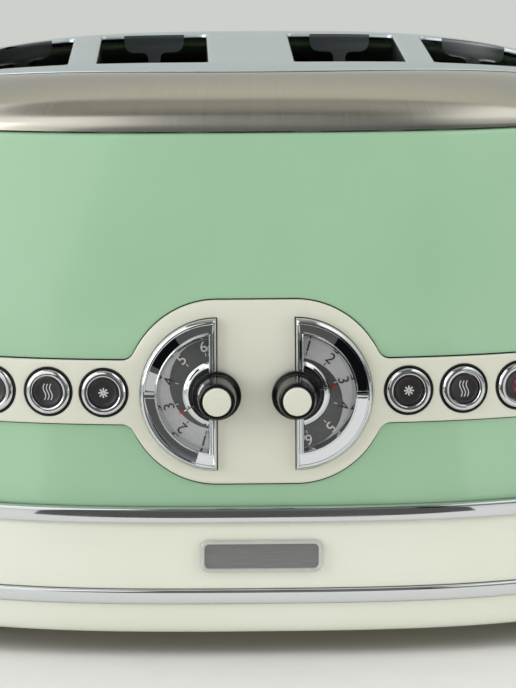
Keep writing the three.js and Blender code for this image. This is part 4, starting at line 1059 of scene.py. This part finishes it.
for name, side in SIDES.items():
    rims = [roll(lambda inset, s=side: lever_outline(s, inset), 0.8, PANEL_GAUGE)]
    rims.append(roll(lambda inset, s=side: slot_hole(s, inset), 0.4, PANEL_GAUGE, 3))
    made = plate("cream_lever_panel_" + name, rims, PANEL_GAUGE, PANEL_SPACING, side_surface)
    dress(made, "case", "cream_plastic", cream_abs, "lever_panel_" + name)
print("lever panels end", round(float(belt_run[-1]), 1), "mm round the case")

# %% [markdown]
# ## Base and trim strips
# The base is a cream moulding with a rounded lower edge and a groove for the lower strip. Each
# strip is chromed steel with a crowned face. A strip follows a rule, so Geometry Nodes sweep its
# section along the outline of the case, from named sizes.

# %% Base
TRAY_SPAN = (15.2, 104.0)
TRAY_MOUTH = (14.9, 104.3)
MOUTH_HEIGHTS = (28.7, 42.3)
INLET_HEIGHT = 38
INLET_HOLE = 6.9
BEHIND = (70, 180)
lower_edge = [(2.6, 0), (1.7, 0.5), (0.95, 1.5), (0.45, 3.0), (0.15, 5.2), (0, 8.0)]
groove = [(0, 20.1), (1.6, 20.1), (1.6, 26.1), (0, 26.1)]
shoulder = [(0, 48.2), (0.2, 49.6), (0.7, 50.5), (1.4, BASE_TOP)]
rebate = [(5.5, BASE_TOP), (5.5, 66.0), (7.3, 66.0), (7.3, 49.0)]
wall_inside = [(BASE_INSET + BASE_WALL, 47.2), (BASE_INSET + BASE_WALL, FOOT_HEIGHT)]
base_profile = [(BASE_INSET + inset, FOOT_HEIGHT + rise) for inset, rise in lower_edge]
base_profile += [(BASE_INSET + inset, z) for inset, z in groove + shoulder]
base = case_band("cream_base", base_profile + rebate + wall_inside, sharp=30)
mouth_spans = [[side * at for at in TRAY_MOUTH] for side in SIDES.values()]
mouths = [block("mouth", span, BEHIND, MOUTH_HEIGHTS) for span in mouth_spans]
hole_section = [(0, 90), (INLET_HOLE, 90), (INLET_HOLE, 180), (0, 180)]
hole = turned("hole", hole_section, (0, 0, INLET_HEIGHT), 48)
cut(base, [*mouths, hole], sharp=30)
# The base takes the paler copy of the cream: painted light.
dress(base, "case", "cream_plastic", lit_base_abs, "base_shell")
print("base", len(base.data.polygons), "faces")

# %% Node tree that sweeps a strip round the case


def signed_power(tree, value, power):
    """The sign of a value times its size to a power."""
    size = add(tree, "ShaderNodeMath", {0: value}, operation="ABSOLUTE")
    raised_size = add(tree, "ShaderNodeMath", {0: size, 1: power}, operation="POWER")
    sign = add(tree, "ShaderNodeMath", {0: value}, operation="SIGN")
    return add(tree, "ShaderNodeMath", {0: raised_size, 1: sign}, operation="MULTIPLY")


def superellipse(tree, unit_circle, half_x, half_y, squareness):
    """Moves the points of a unit circle onto a superellipse."""
    place = add(tree, "ShaderNodeSeparateXYZ", {0: add(tree, "GeometryNodeInputPosition")}).outputs
    power = add(tree, "ShaderNodeMath", {0: 2.0, 1: squareness}, operation="DIVIDE")
    x = {0: signed_power(tree, place[0], power), 1: half_x}
    y = {0: signed_power(tree, place[1], power), 1: half_y}
    moved_x = add(tree, "ShaderNodeMath", x, operation="MULTIPLY")
    moved_y = add(tree, "ShaderNodeMath", y, operation="MULTIPLY")
    moved = add(tree, "ShaderNodeCombineXYZ", {0: moved_x, 1: moved_y})
    return add(tree, "GeometryNodeSetPosition", {"Geometry": unit_circle, "Position": moved})


STRIP_SIZES = [
    "Half Width", "Half Depth", "Squareness",
    "Section Depth", "Section Height", "Section Squareness",
]
strip_tree = bpy.data.node_groups.new("strip swept round the case", "GeometryNodeTree")
for title in STRIP_SIZES:
    strip_tree.interface.new_socket(title, in_out="INPUT", socket_type="NodeSocketFloat")
strip_tree.interface.new_socket("Finish", in_out="INPUT", socket_type="NodeSocketMaterial")
strip_tree.interface.new_socket("Geometry", in_out="OUTPUT", socket_type="NodeSocketGeometry")
given = add(strip_tree, "NodeGroupInput").outputs
loop = add(strip_tree, "GeometryNodeCurvePrimitiveCircle", {"Resolution": 4000, "Radius": 1.0})
path_curve = superellipse(strip_tree, loop, given[0], given[1], given[2])
even = add(strip_tree, "GeometryNodeResampleCurve", {0: path_curve, "Count": AROUND})
level_curve = add(strip_tree, "GeometryNodeSetCurveNormal", {0: even}, mode="Z_UP")
section = add(strip_tree, "GeometryNodeCurvePrimitiveCircle", {"Resolution": 40, "Radius": 1.0})
shaped = superellipse(strip_tree, section, given[3], given[4], given[5])
swept = add(strip_tree, "GeometryNodeCurveToMesh", {"Curve": level_curve, "Profile Curve": shaped})
real = add(strip_tree, "GeometryNodeRealizeInstances", {0: swept})
coated = add(strip_tree, "GeometryNodeSetMaterial", {0: real, "Material": given[6]})
add(strip_tree, "NodeGroupOutput", {0: coated})
print("strip tree with", len(strip_tree.nodes), "nodes")

# %% Grow the strips from the tree
SECTION_HALF = 2.2
SECTION_SQUARE = 5.5
STRIP_INSET = 0.9
STRIPS = {"lower": (20.4, 25.8), "upper": (50.85, 56.6)}


def grow(name, tree, values, z):
    """Runs a tree with its inputs set, makes the result a plain mesh and lifts its points."""
    made = link_new(name, bpy.data.meshes.new(name))
    step = made.modifiers.new("grow", "NODES")
    step.node_group = tree
    for item in tree.interface.items_tree:
        if item.in_out == "INPUT":
            step[item.identifier] = values[item.name]
    settle(made)
    made.data.transform(Matrix.Translation(Vector((0, DEPTH_SHIFT, z)) * MM))
    merge(made)
    return made


for name, (low, high) in STRIPS.items():
    crest = SECTION_HALF - STRIP_INSET
    halves = [CASE_HALF[0] - crest, CASE_HALF[1] - crest]
    sizes = [halves[0] * MM, halves[1] * MM, CASE_SQUARE]
    sizes += [SECTION_HALF * MM, (high - low) / 2 * MM, SECTION_SQUARE]
    values = {**dict(zip(STRIP_SIZES, sizes)), "Finish": chrome}
    strip = grow("chrome_strip_" + name, strip_tree, values, (low + high) / 2)
    dress(strip, "case", "chrome_trim", chrome, name + "_trim_strip")
    spans = [round(v, 4) for v in np.ptp(np.array([v.co for v in strip.data.vertices]), axis=0)]
    print(name, "strip spans", spans)

# %% [markdown]
# ## Badge
# The badge is a small zinc casting: a raised rim, lacquered silver, round a brushed field. The
# field is left bare.

# %% Badge
BADGE = (45.2, 12.0)
BADGE_PLACE = (1.6, 38.4)
BADGE_SEAT = -(CASE_HALF[1] - BASE_INSET) - CLEARANCE
BADGE_CORNER = 3.0
FIELD_INSET = 1.5
FIELD_CORNER = 1.6
RIM_BACK = (1.7, 1.4)


def badge_outline(inset, corner, steps=6):
    """A rectangle with round corners, in x and z."""
    x, z = BADGE[0] / 2 - inset - corner, BADGE[1] / 2 - inset - corner
    bends = [
        arc(x, z, corner, 0, math.pi / 2, steps),
        arc(-x, z, corner, math.pi / 2, math.pi, steps),
        arc(-x, -z, corner, math.pi, 1.5 * math.pi, steps),
        arc(x, -z, corner, 1.5 * math.pi, 2 * math.pi, steps),
    ]
    return np.concatenate(bends) + BADGE_PLACE


rim_profile = [(0, 0), (0, 1.4), (0.1, 1.65), (0.3, 1.8), (1.2, 1.8), (1.4, 1.6), (FIELD_INSET, 0.9)]
rim_loops = []
for inset, proud in rim_profile:
    rim_loops.append(at_depth(badge_outline(inset, BADGE_CORNER - 0.9 * inset), BADGE_SEAT - proud))
rim_loops.append(at_depth(badge_outline(*RIM_BACK), BADGE_SEAT))
rim = make_object("badge_rim", *loft(rim_loops), sharp=45)
dress(rim, "case", "badge_metal", badge_rim, "badge_plate")
field_depths = (BADGE_SEAT - 0.9, BADGE_SEAT - 0.1)
field = prism("badge_field", badge_outline(FIELD_INSET, FIELD_CORNER), field_depths)
dress(field, "case", "badge_metal", badge_steel)
print("badge stands", rim_profile[3][1] + CLEARANCE, "mm off the base")

# %% [markdown]
# ## Dials
# Each dial is the outer half of a round scale. A chromed frame runs round it: an outer bead, a
# hollow, and an inner bead, along the arc and along the straight side alike. A half ring stands
# round the knob. The face is grey, with a dark crescent that widens towards the high numbers.

# %% Frames of the dials
# The frame's section has, from the outer edge inwards, a radius round the dial, a distance beyond
# the straight side and a depth. The ring round the knob has a radius and a depth.
PANEL_FACE = -(deep(BELT) + PANEL_PROUD)
RIM_FRONT = PANEL_FACE - 2.3
FACE_FRONT = RIM_FRONT + 4.4
HUB_FRONT = RIM_FRONT + 1.9
NOTCH_REACH = (22.4, 27.2)
NOTCH_HALF = 1.1
frame_section = [
    (28.2, 0.0, 6.4), (28.2, 0.0, 1.3), (28.12, 0.05, 1.0), (27.3, 0.55, 0.14), (27.0, 0.72, 0.0),
    (26.7, 0.9, 0.05), (26.5, 1.05, 0.4), (26.4, 1.12, 1.2), (25.6, 1.35, 1.5), (24.3, 1.7, 1.55),
    (22.85, 2.12, 1.45), (22.72, 2.2, 0.9), (22.55, 2.3, 0.7), (22.3, 2.5, 0.64), (22.05, 2.7, 0.8),
    (21.9, 2.8, 1.2), (21.2, 3.1, 2.7), (20.7, 3.3, 4.3), (20.7, 3.3, 6.4),
]
hub_section = [
    (12.6, 2.5), (12.6, 1.25), (12.45, 0.98), (10.75, 0.16), (10.45, 0), (10.2, 0.05),
    (10.05, 0.35), (10.0, 2.5),
]


def keep_outer_half(made, side):
    """Cuts a turned piece through the dial's centre line and closes the cut."""
    at = (side * DIAL_OFFSET * MM, 0, 0)
    with editing(made) as bm:
        everything = bm.verts[:] + bm.edges[:] + bm.faces[:]
        bmesh.ops.bisect_plane(bm, geom=everything, plane_co=at, plane_no=(-side, 0, 0), clear_outer=True)
        bmesh.ops.holes_fill(bm, edges=[e for e in bm.edges if e.is_boundary])
    smooth(made)


for name, side in SIDES.items():
    loops = [at_depth(half_disc(side, r, line, 72, 36), RIM_FRONT + d) for r, line, d in frame_section]
    bead = make_object("frame", *loft(loops), sharp=50)
    hub = turned("hub", hub_section, (side * DIAL_OFFSET, HUB_FRONT, DIAL_HEIGHT), 96)
    keep_outer_half(hub, side)
    span = [side * (DIAL_OFFSET + reach) for reach in NOTCH_REACH]
    heights = (DIAL_HEIGHT - NOTCH_HALF, DIAL_HEIGHT + NOTCH_HALF)
    notch = block("notch", span, (RIM_FRONT + 0.5, RIM_FRONT + 3), heights, 0.3)
    made = join("dial_frame_" + name, [bead, hub, notch])
    dress(made, "case", "chrome_trim", chrome, "dial_bezel_" + name)
print("dial frames stand", round(PANEL_FACE - RIM_FRONT, 2), "mm off the panel")

# %% [markdown]
# The chrome round the dials is dark in some places and white in others. Each flag here is a small
# glowing card, close to a dial, that only mirrors see, so the dark and white are painted reflections.

# %% Flags that the dials mirror, which paint reflections
FLAG_GAP = 5.0
PAINTED_DARK_REFLECTION = "#101012"
PAINTED_WHITE_REFLECTION = "#f2f2f0"


def flag(name, side, radii, turns, code):
    """A glowing card shaped as a part of a ring, between two turns in degrees from the top; it paints a
    reflection in the chrome.
    """
    turn = np.radians(np.linspace(*turns, 24))
    edges = [np.column_stack([side * r * np.sin(turn), r * np.cos(turn)]) for r in radii]
    flat = np.concatenate([edges[0], edges[1][::-1]]) + [side * DIAL_OFFSET, DIAL_HEIGHT - 0.75]
    made = make_object(name, at_depth(flat, RIM_FRONT - FLAG_GAP), rungs(len(flat)))
    mirror_only(made, code)


flag("right_dark_outer", 1, (21, 28.4), (38, 88), PAINTED_DARK_REFLECTION)
flag("right_dark_hub", 1, (13, 20.5), (0, 88), PAINTED_DARK_REFLECTION)
flag("right_white", 1, (9.5, 28.6), (95, 180), PAINTED_WHITE_REFLECTION)
flag("left_dark", -1, (21.3, 28.4), (36, 66), PAINTED_DARK_REFLECTION)
flag("left_pale", -1, (21.3, 28.4), (71, 87), "#d2d2d0")
flag("left_white_hub", -1, (12.5, 20.6), (24, 160), PAINTED_WHITE_REFLECTION)
flag("left_white_bar", -1, (9.5, 28.6), (163, 180), PAINTED_WHITE_REFLECTION)
print("seven flags", FLAG_GAP, "mm before the dials")

# %% [markdown]
# The numbers are set round the scale with their tops outwards. They are real text, turned into a
# mesh a tenth of a millimetre thick, like a heavy screen print. Dark ink is used on the pale zone
# and pale ink on the dark one.

# %% Letters on a dial


def lettering(text, size, thick):
    """Text as mesh points in its own plane, centred."""
    curve = bpy.data.curves.new("lettering", "FONT")
    curve.body = text
    curve.size = size
    curve.extrude = thick / 2
    curve.align_x, curve.align_y = "CENTER", "CENTER"
    curve.resolution_u = 3
    holder = link_new("lettering", curve)
    bpy.context.view_layer.update()
    graph = bpy.context.evaluated_depsgraph_get()
    mesh = bpy.data.meshes.new_from_object(holder.evaluated_get(graph), depsgraph=graph)
    bpy.data.objects.remove(holder)
    points = np.array([tuple(v.co) for v in mesh.vertices])
    points[:, :2] -= (points[:, :2].max(axis=0) + points[:, :2].min(axis=0)) / 2
    return points, [tuple(p.vertices) for p in mesh.polygons]


def on_dial(points, side, turn_deg, radius, y):
    """Text points go to a place on the dial: their own up becomes outwards."""
    out = math.radians(turn_deg)
    across = np.array([math.cos(out), 0, -math.sin(out)])
    up = np.array([math.sin(out), 0, math.cos(out)])
    centre = np.array([side * DIAL_OFFSET, y, DIAL_HEIGHT])
    return centre + points[:, :1] * across + (points[:, 1:2] + radius) * up + points[:, 2:3] * [0, -1, 0]


# %% Faces, numbers and ticks
NUMBER_RADIUS = 18.2
NUMBER_SIZE = 5.805
TICK_RADIUS = 15.1
TICK_HALF = (0.14, 0.6)
INK = 0.1
FACE_RADIUS = 22.6
FACE_GAUGE = 1.4
CRESCENT_RADIUS = 17.3
CRESCENT_SHIFT = 4.0
CRESCENT_REACH = 20.6
CRESCENT_START = 0.4
SHADE_PROUD = 0.08
TICK_PROUD = 0.12
NUMBER_PROUD = 0.16


def crescent(side):
    """A disc moved towards the high numbers, kept inside the face and to its own side."""
    shift = -side * CRESCENT_SHIFT
    disc = circle(0, shift, CRESCENT_RADIUS, 96)
    out = np.hypot(disc[:, 0], disc[:, 1])
    disc *= (np.minimum(out, CRESCENT_REACH) / out)[:, None]
    disc = disc[disc[:, 0] > CRESCENT_START]
    order = np.argsort(np.arctan2(disc[:, 1] - shift, disc[:, 0]))
    return disc[order] * [side, 1] + [side * DIAL_OFFSET, DIAL_HEIGHT]


def tick(side, turn_deg):
    """A short bar that points at the middle of the dial."""
    half_x, half_y = TICK_HALF
    flat = np.array([[-half_x, -half_y], [half_x, -half_y], [half_x, half_y], [-half_x, half_y]])
    points = np.concatenate([np.column_stack([flat, np.full(4, h)]) for h in (0.0, INK)])
    faces = [(0, 1, 2, 3), (7, 6, 5, 4), (0, 4, 5, 1), (1, 5, 6, 2), (2, 6, 7, 3), (3, 7, 4, 0)]
    placed = on_dial(points, side, turn_deg, TICK_RADIUS, FACE_FRONT - TICK_PROUD)
    return make_object("tick", placed, faces, sharp=30)


for name, side in SIDES.items():
    face_shape = half_disc(side, FACE_RADIUS, 0.35, 72, 30)
    face = prism("dial_face_plate_" + name, face_shape, (FACE_FRONT, FACE_FRONT + FACE_GAUGE))
    dress(face, "case", "dial_grey", grey_print, "dial_face_" + name)
    shade_depths = (FACE_FRONT - SHADE_PROUD, FACE_FRONT + 0.3)
    shade = prism("dial_crescent_" + name, crescent(side), shade_depths)
    dress(shade, "case", "dial_grey", dark_print)
    inks = {"dark": [], "pale": []}
    for number in range(1, 7):
        turn_deg = 30 * number - 15 if side > 0 else 30 * number - 195
        points, faces = lettering(str(number), NUMBER_SIZE, INK)
        points = on_dial(points, side, turn_deg, NUMBER_RADIUS, FACE_FRONT - NUMBER_PROUD)
        inks["pale" if number > 4 else "dark"].append(make_object("number", points, faces, sharp=30))
        inks["dark" if number < 3 else "pale"].append(tick(side, turn_deg))
    for ink, parts in inks.items():
        made = join(f"dial_numbers_{ink}_{name}", parts)
        dress(made, "case", "dial_grey", dark_ink if ink == "dark" else pale_ink)
print("numbers 1 to 6 on two dials")

# %% [markdown]
# ## Knobs and pointers
# A knob is turned black plastic with a wide skirt and a waist, and a cream cap is pressed into its
# front. Behind the skirt a ring with a thin arm turns with it, and its tip is painted red. The tip
# is narrow enough to clear the frame's straight side at both ends of the turn.

# %% Knobs, caps and pointers
POINTER_BACK = HUB_FRONT - 0.3
POINTER_THICK = 0.6
KNOB_BACK = POINTER_BACK - POINTER_THICK - 0.3
KNOB_LENGTH = 17.4
SETTINGS = {"left": -116.2, "right": 79.6}
ARM_RING = 5.6
ARM_HALF = 0.22
ARM_GAP = 0.25
knob_section = [
    (0, 30.0), (3, 30.0), (3, 0.0), (8.5, 0.0), (9.0, -0.25), (9.1, -0.7), (9.1, -2.35), (9.02, -2.62),
    (8.85, -2.75), (8.3, -2.8), (8.12, -3.0), (7.75, -4.4), (7.5, -7.2), (7.2, -10.4), (6.9, -13.6),
    (6.7, -15.2), (6.5, -15.8), (6.2, -16.0), (5.7, -16.0), (5.45, -15.8), (5.45, -14.0), (0, -14.0),
]
cap_section = [
    (0, -14.3), (5.2, -14.3), (5.2, -16.7), (5.12, -17.05), (4.85, -17.3),
    (4.4, -KNOB_LENGTH), (0, -KNOB_LENGTH),
]
spread = math.asin(ARM_GAP / ARM_RING)
arm_ring = arc(0, 0, ARM_RING, math.pi / 2 + spread, 2.5 * math.pi - spread, 24)
arm = [[ARM_HALF, 9.0], [ARM_HALF, 13.4], [-ARM_HALF, 13.4], [-ARM_HALF, 9.0]]
arm_shape = np.concatenate([arm_ring, arm])
tip_shape = np.array([[0.45, 13.3], [0.75, 14.4], [0.0, 15.3], [-0.75, 14.4], [-0.45, 13.3]])


def pointer_piece(name, side, shape, setting):
    """A flat shape that points up, turned to a setting in degrees from the top."""
    out = math.radians(setting)
    x = shape[:, 0] * math.cos(out) + shape[:, 1] * math.sin(out)
    z = shape[:, 1] * math.cos(out) - shape[:, 0] * math.sin(out)
    placed = np.column_stack([x, z]) + [side * DIAL_OFFSET, DIAL_HEIGHT]
    return prism(name, placed, (POINTER_BACK - POINTER_THICK, POINTER_BACK))


for name, side in SIDES.items():
    centre = (side * DIAL_OFFSET, KNOB_BACK, DIAL_HEIGHT)
    knob = turned("black_knob_" + name, knob_section, centre, 96)
    dress(knob, "dial_" + name, "black_gloss", black_abs, "knob_" + name)
    cap = turned("cream_knob_cap_" + name, cap_section, centre, 80)
    dress(cap, "dial_" + name, "cream_plastic", cream_abs, "knob_cap_" + name)
    pointer_arm = pointer_piece("pointer_arm_" + name, side, arm_shape, SETTINGS[name])
    dress(pointer_arm, "dial_" + name, "chrome_trim", chrome)
    tip = pointer_piece("red_pointer_tip_" + name, side, tip_shape, SETTINGS[name])
    dress(tip, "dial_" + name, "pointer_red", red_paint, "dial_pointer_" + name)
print("knobs stand", round(PANEL_FACE - KNOB_BACK + KNOB_LENGTH, 1), "mm off the panel")

# %% [markdown]
# ## Push buttons
# Each button is a chromed ring round a dished charcoal disc with a fine raised line and a symbol:
# a pale snowflake to defrost, three pale waves to reheat, and a pale cross in a red ring to
# cancel. Its axis follows the curve of the belt, so a button near the end of the belt faces a
# little to the side. A thin black collar in the gap between the button and the panel stands for the shadow
# in that gap: painted shade.

# %% Symbols


def ribbon(points, width):
    """A line of points made into a flat band with that width."""
    points = np.asarray(points, float)
    run = np.gradient(points, axis=0)
    run /= np.linalg.norm(run, axis=1)[:, None]
    normal = np.column_stack([-run[:, 1], run[:, 0]]) * width / 2
    return np.concatenate([points + normal, (points - normal)[::-1]])


def snowflake():
    arm_line = np.array([[0.2, 0.0], [1.0, 0.0], [1.85, 0.0]])
    for turn_at in np.arange(8) * math.pi / 4:
        c, s = math.cos(turn_at), math.sin(turn_at)
        yield ribbon(arm_line, 0.5) @ [[c, s], [-s, c]], "pale"


def waves():
    z = np.linspace(-3.0, 3.0, 25)
    wave = -0.5 * np.sin(z / 6.0 * 2 * math.pi)
    for x in (-1.23, 0.0, 1.23):
        yield ribbon(np.column_stack([wave + x, z]), 0.32), "pale"


def crossed_ring():
    for s in (1, -1):
        yield ribbon([[-1.3, -1.3 * s], [0, 0], [1.3, 1.3 * s]], 0.5), "pale"
    for k in range(24):
        turn_at = np.array([k, k + 0.5, k + 1]) / 24 * 2 * math.pi
        yield ribbon(2.6 * np.column_stack([np.cos(turn_at), np.sin(turn_at)]), 0.4), "red"


SYMBOLS = {"defrost": snowflake, "reheat": waves, "cancel": crossed_ring}

# %% Buttons
STEM_RADIUS = 2.4
STEM_END = 18.0
STEM_GAP = 0.6
MARK_DEPTHS = (-0.45, -0.1)
ring_section = [
    (STEM_RADIUS, STEM_END), (STEM_RADIUS, 6.0), (8.6, 6.0), (8.6, 0.9), (8.52, 0.35), (8.3, -0.3),
    (7.95, -0.85), (7.55, -1.15), (7.1, -1.28), (6.5, -1.3), (6.15, -1.2), (5.95, -0.95),
    (5.8, -0.5), (5.75, 0.0), (5.7, 0.9), (2.0, 0.9), (2.0, STEM_END),
]
shade_collar_section = [(8.7, 1.5), (8.7, 0.2), (8.8, 0.1), (9.25, 0.1), (9.32, 0.18), (9.32, 1.5)]
dish_section = [
    (0, 0.8), (5.6, 0.8), (5.6, -0.25), (5.45, -0.3), (5.05, -0.3), (4.95, -0.42),
    (4.75, -0.42), (4.65, -0.3), (4.5, -0.25), (3.0, -0.18), (0, -0.15),
]


def belt_turn(x):
    """The depth of the belt at a place, and how far it faces to the side there."""
    half_x, half_y = wide(BELT) + PANEL_PROUD, deep(BELT) + PANEL_PROUD
    y = half_y * (1 - (abs(x) / half_x) ** CASE_SQUARE) ** (1 / CASE_SQUARE)
    slope_x = (abs(x) / half_x) ** (CASE_SQUARE - 1) / half_x
    slope_y = (y / half_y) ** (CASE_SQUARE - 1) / half_y
    return -y, math.copysign(math.atan2(slope_x, slope_y), x)


def raised_mark(shape, centre, turn_at):
    """A flat band made thick, on the face of a button."""
    spin = np.array(Matrix.Rotation(turn_at, 3, "Z"))
    rings = [at_depth(shape, depth) @ spin.T for depth in MARK_DEPTHS]
    count = len(shape)
    faces = wall(count) + rungs(count) + rungs(count, count)
    return make_object("mark", np.concatenate(rings) + centre, faces, sharp=30)


for side_name, side in SIDES.items():
    for use, along in BUTTON_X.items():
        y, turn_at = belt_turn(side * along)
        centre = (side * along, y, BELT)
        title = f"{side_name}_{use}"
        rides = "press_button_" + title
        back = float(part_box("button_" + title)[1][1] / MM - DEPTH_SHIFT)
        stem_end = (back - y - STEM_RADIUS * math.sin(abs(turn_at))) / math.cos(turn_at) - STEM_GAP
        section = [(r, stem_end if d == STEM_END else d) for r, d in ring_section]
        # The black collar paints the shadow in the gap round the button.
        shade_collar = turned("button_shade_collar_" + title, shade_collar_section, centre, 80, turn_at)
        dress(shade_collar, "case", "black_rubber", rubber)
        made = turned("chrome_button_" + title, section, centre, 96, turn_at)
        dress(made, rides, "chrome_trim", chrome, "button_" + title)
        dish = turned("button_dish_" + title, dish_section, centre, 80, turn_at)
        dress(dish, rides, "dial_grey", dish_abs)
        groups = {}
        for shape, ink in SYMBOLS[use]():
            groups.setdefault(ink, []).append(raised_mark(shape, centre, turn_at))
        for ink, parts in groups.items():
            mark = join(f"button_mark_{ink}_{title}", parts)
            dress(mark, rides, "dial_grey", pale_ink if ink == "pale" else red_paint)
print("six buttons")

# %% [markdown]
# ## Levers, trays, feet and inlet
# These are plain turned or pressed pieces: a cream lever knob on each side, two sheet metal trays
# whose faces close the back of the base, four rubber feet and a rubber bushing for the cord.

# %% Lever knobs, feet and inlet
LEVER_KNOB = (8.5, 18.0)
LEVER_KNOB_HEIGHT = 165
FOOT_PLACE = (112, 88)
knob_shares = [
    (0, 0), (0, 0.4), (0.14, 0.43), (0.22, 0.56), (0.32, 0.82), (0.42, 0.95),
    (0.52, 1), (0.78, 1), (0.9, 0.93), (0.97, 0.78), (1, 0.55), (1, 0),
]
foot_section = [(0, 0), (7.8, 0), (8.6, -0.35), (9.0, -1.1), (9.0, -11.5), (0, -11.5)]
inlet_section = [
    (3.4, 146.0), (3.9, 146.0), (8.2, 146.0), (8.8, 145.4), (9.0, 144.4), (9.0, 141.3), (6.6, 141.3),
    (6.6, 130.8), (3.4, 130.8),
]
for name, side in SIDES.items():
    near_end = min(abs(corner[0]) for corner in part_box("lever_knob_" + name)) / MM
    section = [(LEVER_KNOB[0] * out, -LEVER_KNOB[1] * along) for along, out in knob_shares]
    centre = (side * near_end, 0, LEVER_KNOB_HEIGHT)
    made = turned("cream_lever_knob_" + name, section, centre, 72, side * math.pi / 2)
    dress(made, "lift_" + name, "cream_plastic", cream_abs, "lever_knob_" + name)
    for end, way in (("front", -1), ("back", 1)):
        foot = turned(f"rubber_foot_{end}_{name}", foot_section, (0, 0, 0), 48)
        place = Vector((side * FOOT_PLACE[0], way * FOOT_PLACE[1] + DEPTH_SHIFT, 0)) * MM
        upright_foot = Matrix.Rotation(-math.pi / 2, 4, "X") @ Matrix.Translation((0, -DEPTH_SHIFT * MM, 0))
        foot.data.transform(Matrix.Translation(place) @ upright_foot)
        lowest = min(v.co.z for v in foot.data.vertices)
        foot.data.transform(Matrix.Translation((0, 0, -lowest)))
        dress(foot, "case", "black_rubber", rubber, f"foot_{end}_{name}")
inlet = turned("rubber_cord_inlet", inlet_section, (0, 0, INLET_HEIGHT), 64)
dress(inlet, "case", "black_rubber", rubber, "cord_inlet")
print("two lever knobs, four feet and the inlet")

# %% Crumb trays
MIDDLE_INSET = 120
PAN_DEPTHS = (-66, 141)
PAN_HEIGHTS = (30, 36)
PULL_HALF = 18
face_profile = [(1.5, 29), (1, 29.5), (1, 41.5), (1.5, 42), (4, 42), (4, 29)]
pull_profile = [(-3.4, 30), (-4, 30.6), (-4, 32), (-3.4, 32.5), (3.8, 32.5), (3.8, 30)]


def in_middle(co):
    """Whether a point lies on the wall of the hole that a band to the middle leaves."""
    return abs(co.x) < 0.05 and abs(co.y - DEPTH_SHIFT * MM) < 0.03


def inside_of_case(name, inset, low, high):
    """A solid block as wide as the case less an inset: a band to its middle, with the rest closed."""
    made = case_band(name, [(inset, low), (inset, high), (MIDDLE_INSET, high), (MIDDLE_INSET, low)])
    with editing(made) as bm:
        wall_of_hole = [f for f in bm.faces if all(in_middle(v.co) for v in f.verts)]
        bmesh.ops.delete(bm, geom=wall_of_hole, context="FACES")
        bmesh.ops.holes_fill(bm, edges=[e for e in bm.edges if e.is_boundary])
    return made


def back_part(name, profile, span):
    """The part of a band that lies behind the case, between two places across it."""
    made = case_band(name, profile)
    cut(made, [block("keep", span, BEHIND, (20, 60))], "INTERSECT")
    return made


def tray_pan(name, side):
    """A shallow pan with a rolled edge, its face and its pull."""
    span = sorted((side * TRAY_SPAN[0], side * TRAY_SPAN[1]))
    middle = sum(span) / 2
    pan = block("pan", span, PAN_DEPTHS, PAN_HEIGHTS, 0.5)
    inner_span = (span[0] + 1, span[1] - 1)
    hollow = block("hollow", inner_span, (PAN_DEPTHS[0] + 1, 160), (PAN_HEIGHTS[0] + 1, 60))
    cut(hollow, [inside_of_case("core", 4, 20, 80)], "INTERSECT")
    cut(pan, [inside_of_case("hull", 2.5, 20, 50)], "INTERSECT")
    cut(pan, [hollow])
    face = back_part("face", face_profile, span)
    pull = back_part("pull", pull_profile, (middle - PULL_HALF, middle + PULL_HALF))
    return join("crumb_tray_pan_" + name, [pan, face, pull])


for name, side in SIDES.items():
    made = tray_pan(name, side)
    dress(made, "tray_" + name, "zinc_sheet", zinc, "crumb_tray_" + name)
print("two trays")

# %% [markdown]
# ## Inside
# The rest stays as its solid and only gets a finish. It shows through the slots and from below.

# %% Finishes of the solids that stay
# The chamber frame's near black is partly heat stain and partly painted shade.
inside_finishes = {
    "chamber_frame": stained_and_shaded_zinc, "bread_guard": wire_steel, "heater_board": mica, "bread_rack": zinc,
    "lift_carriage": zinc, "guide_rod": chrome, "return_spring": wire_steel, "holding_magnet": magnet_iron,
    "control_board": board_green, "base_plate": grey_paint, "terminal_block": dish_abs,
}
for name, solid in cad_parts.items():
    for start_of_name, finish in inside_finishes.items():
        if name.startswith(start_of_name):
            solid.data.materials.clear()
            solid.data.materials.append(finish)
print(len(dressed), "pieces dressed")

# %% Sizes and the end
print("CAD box", cad_box)
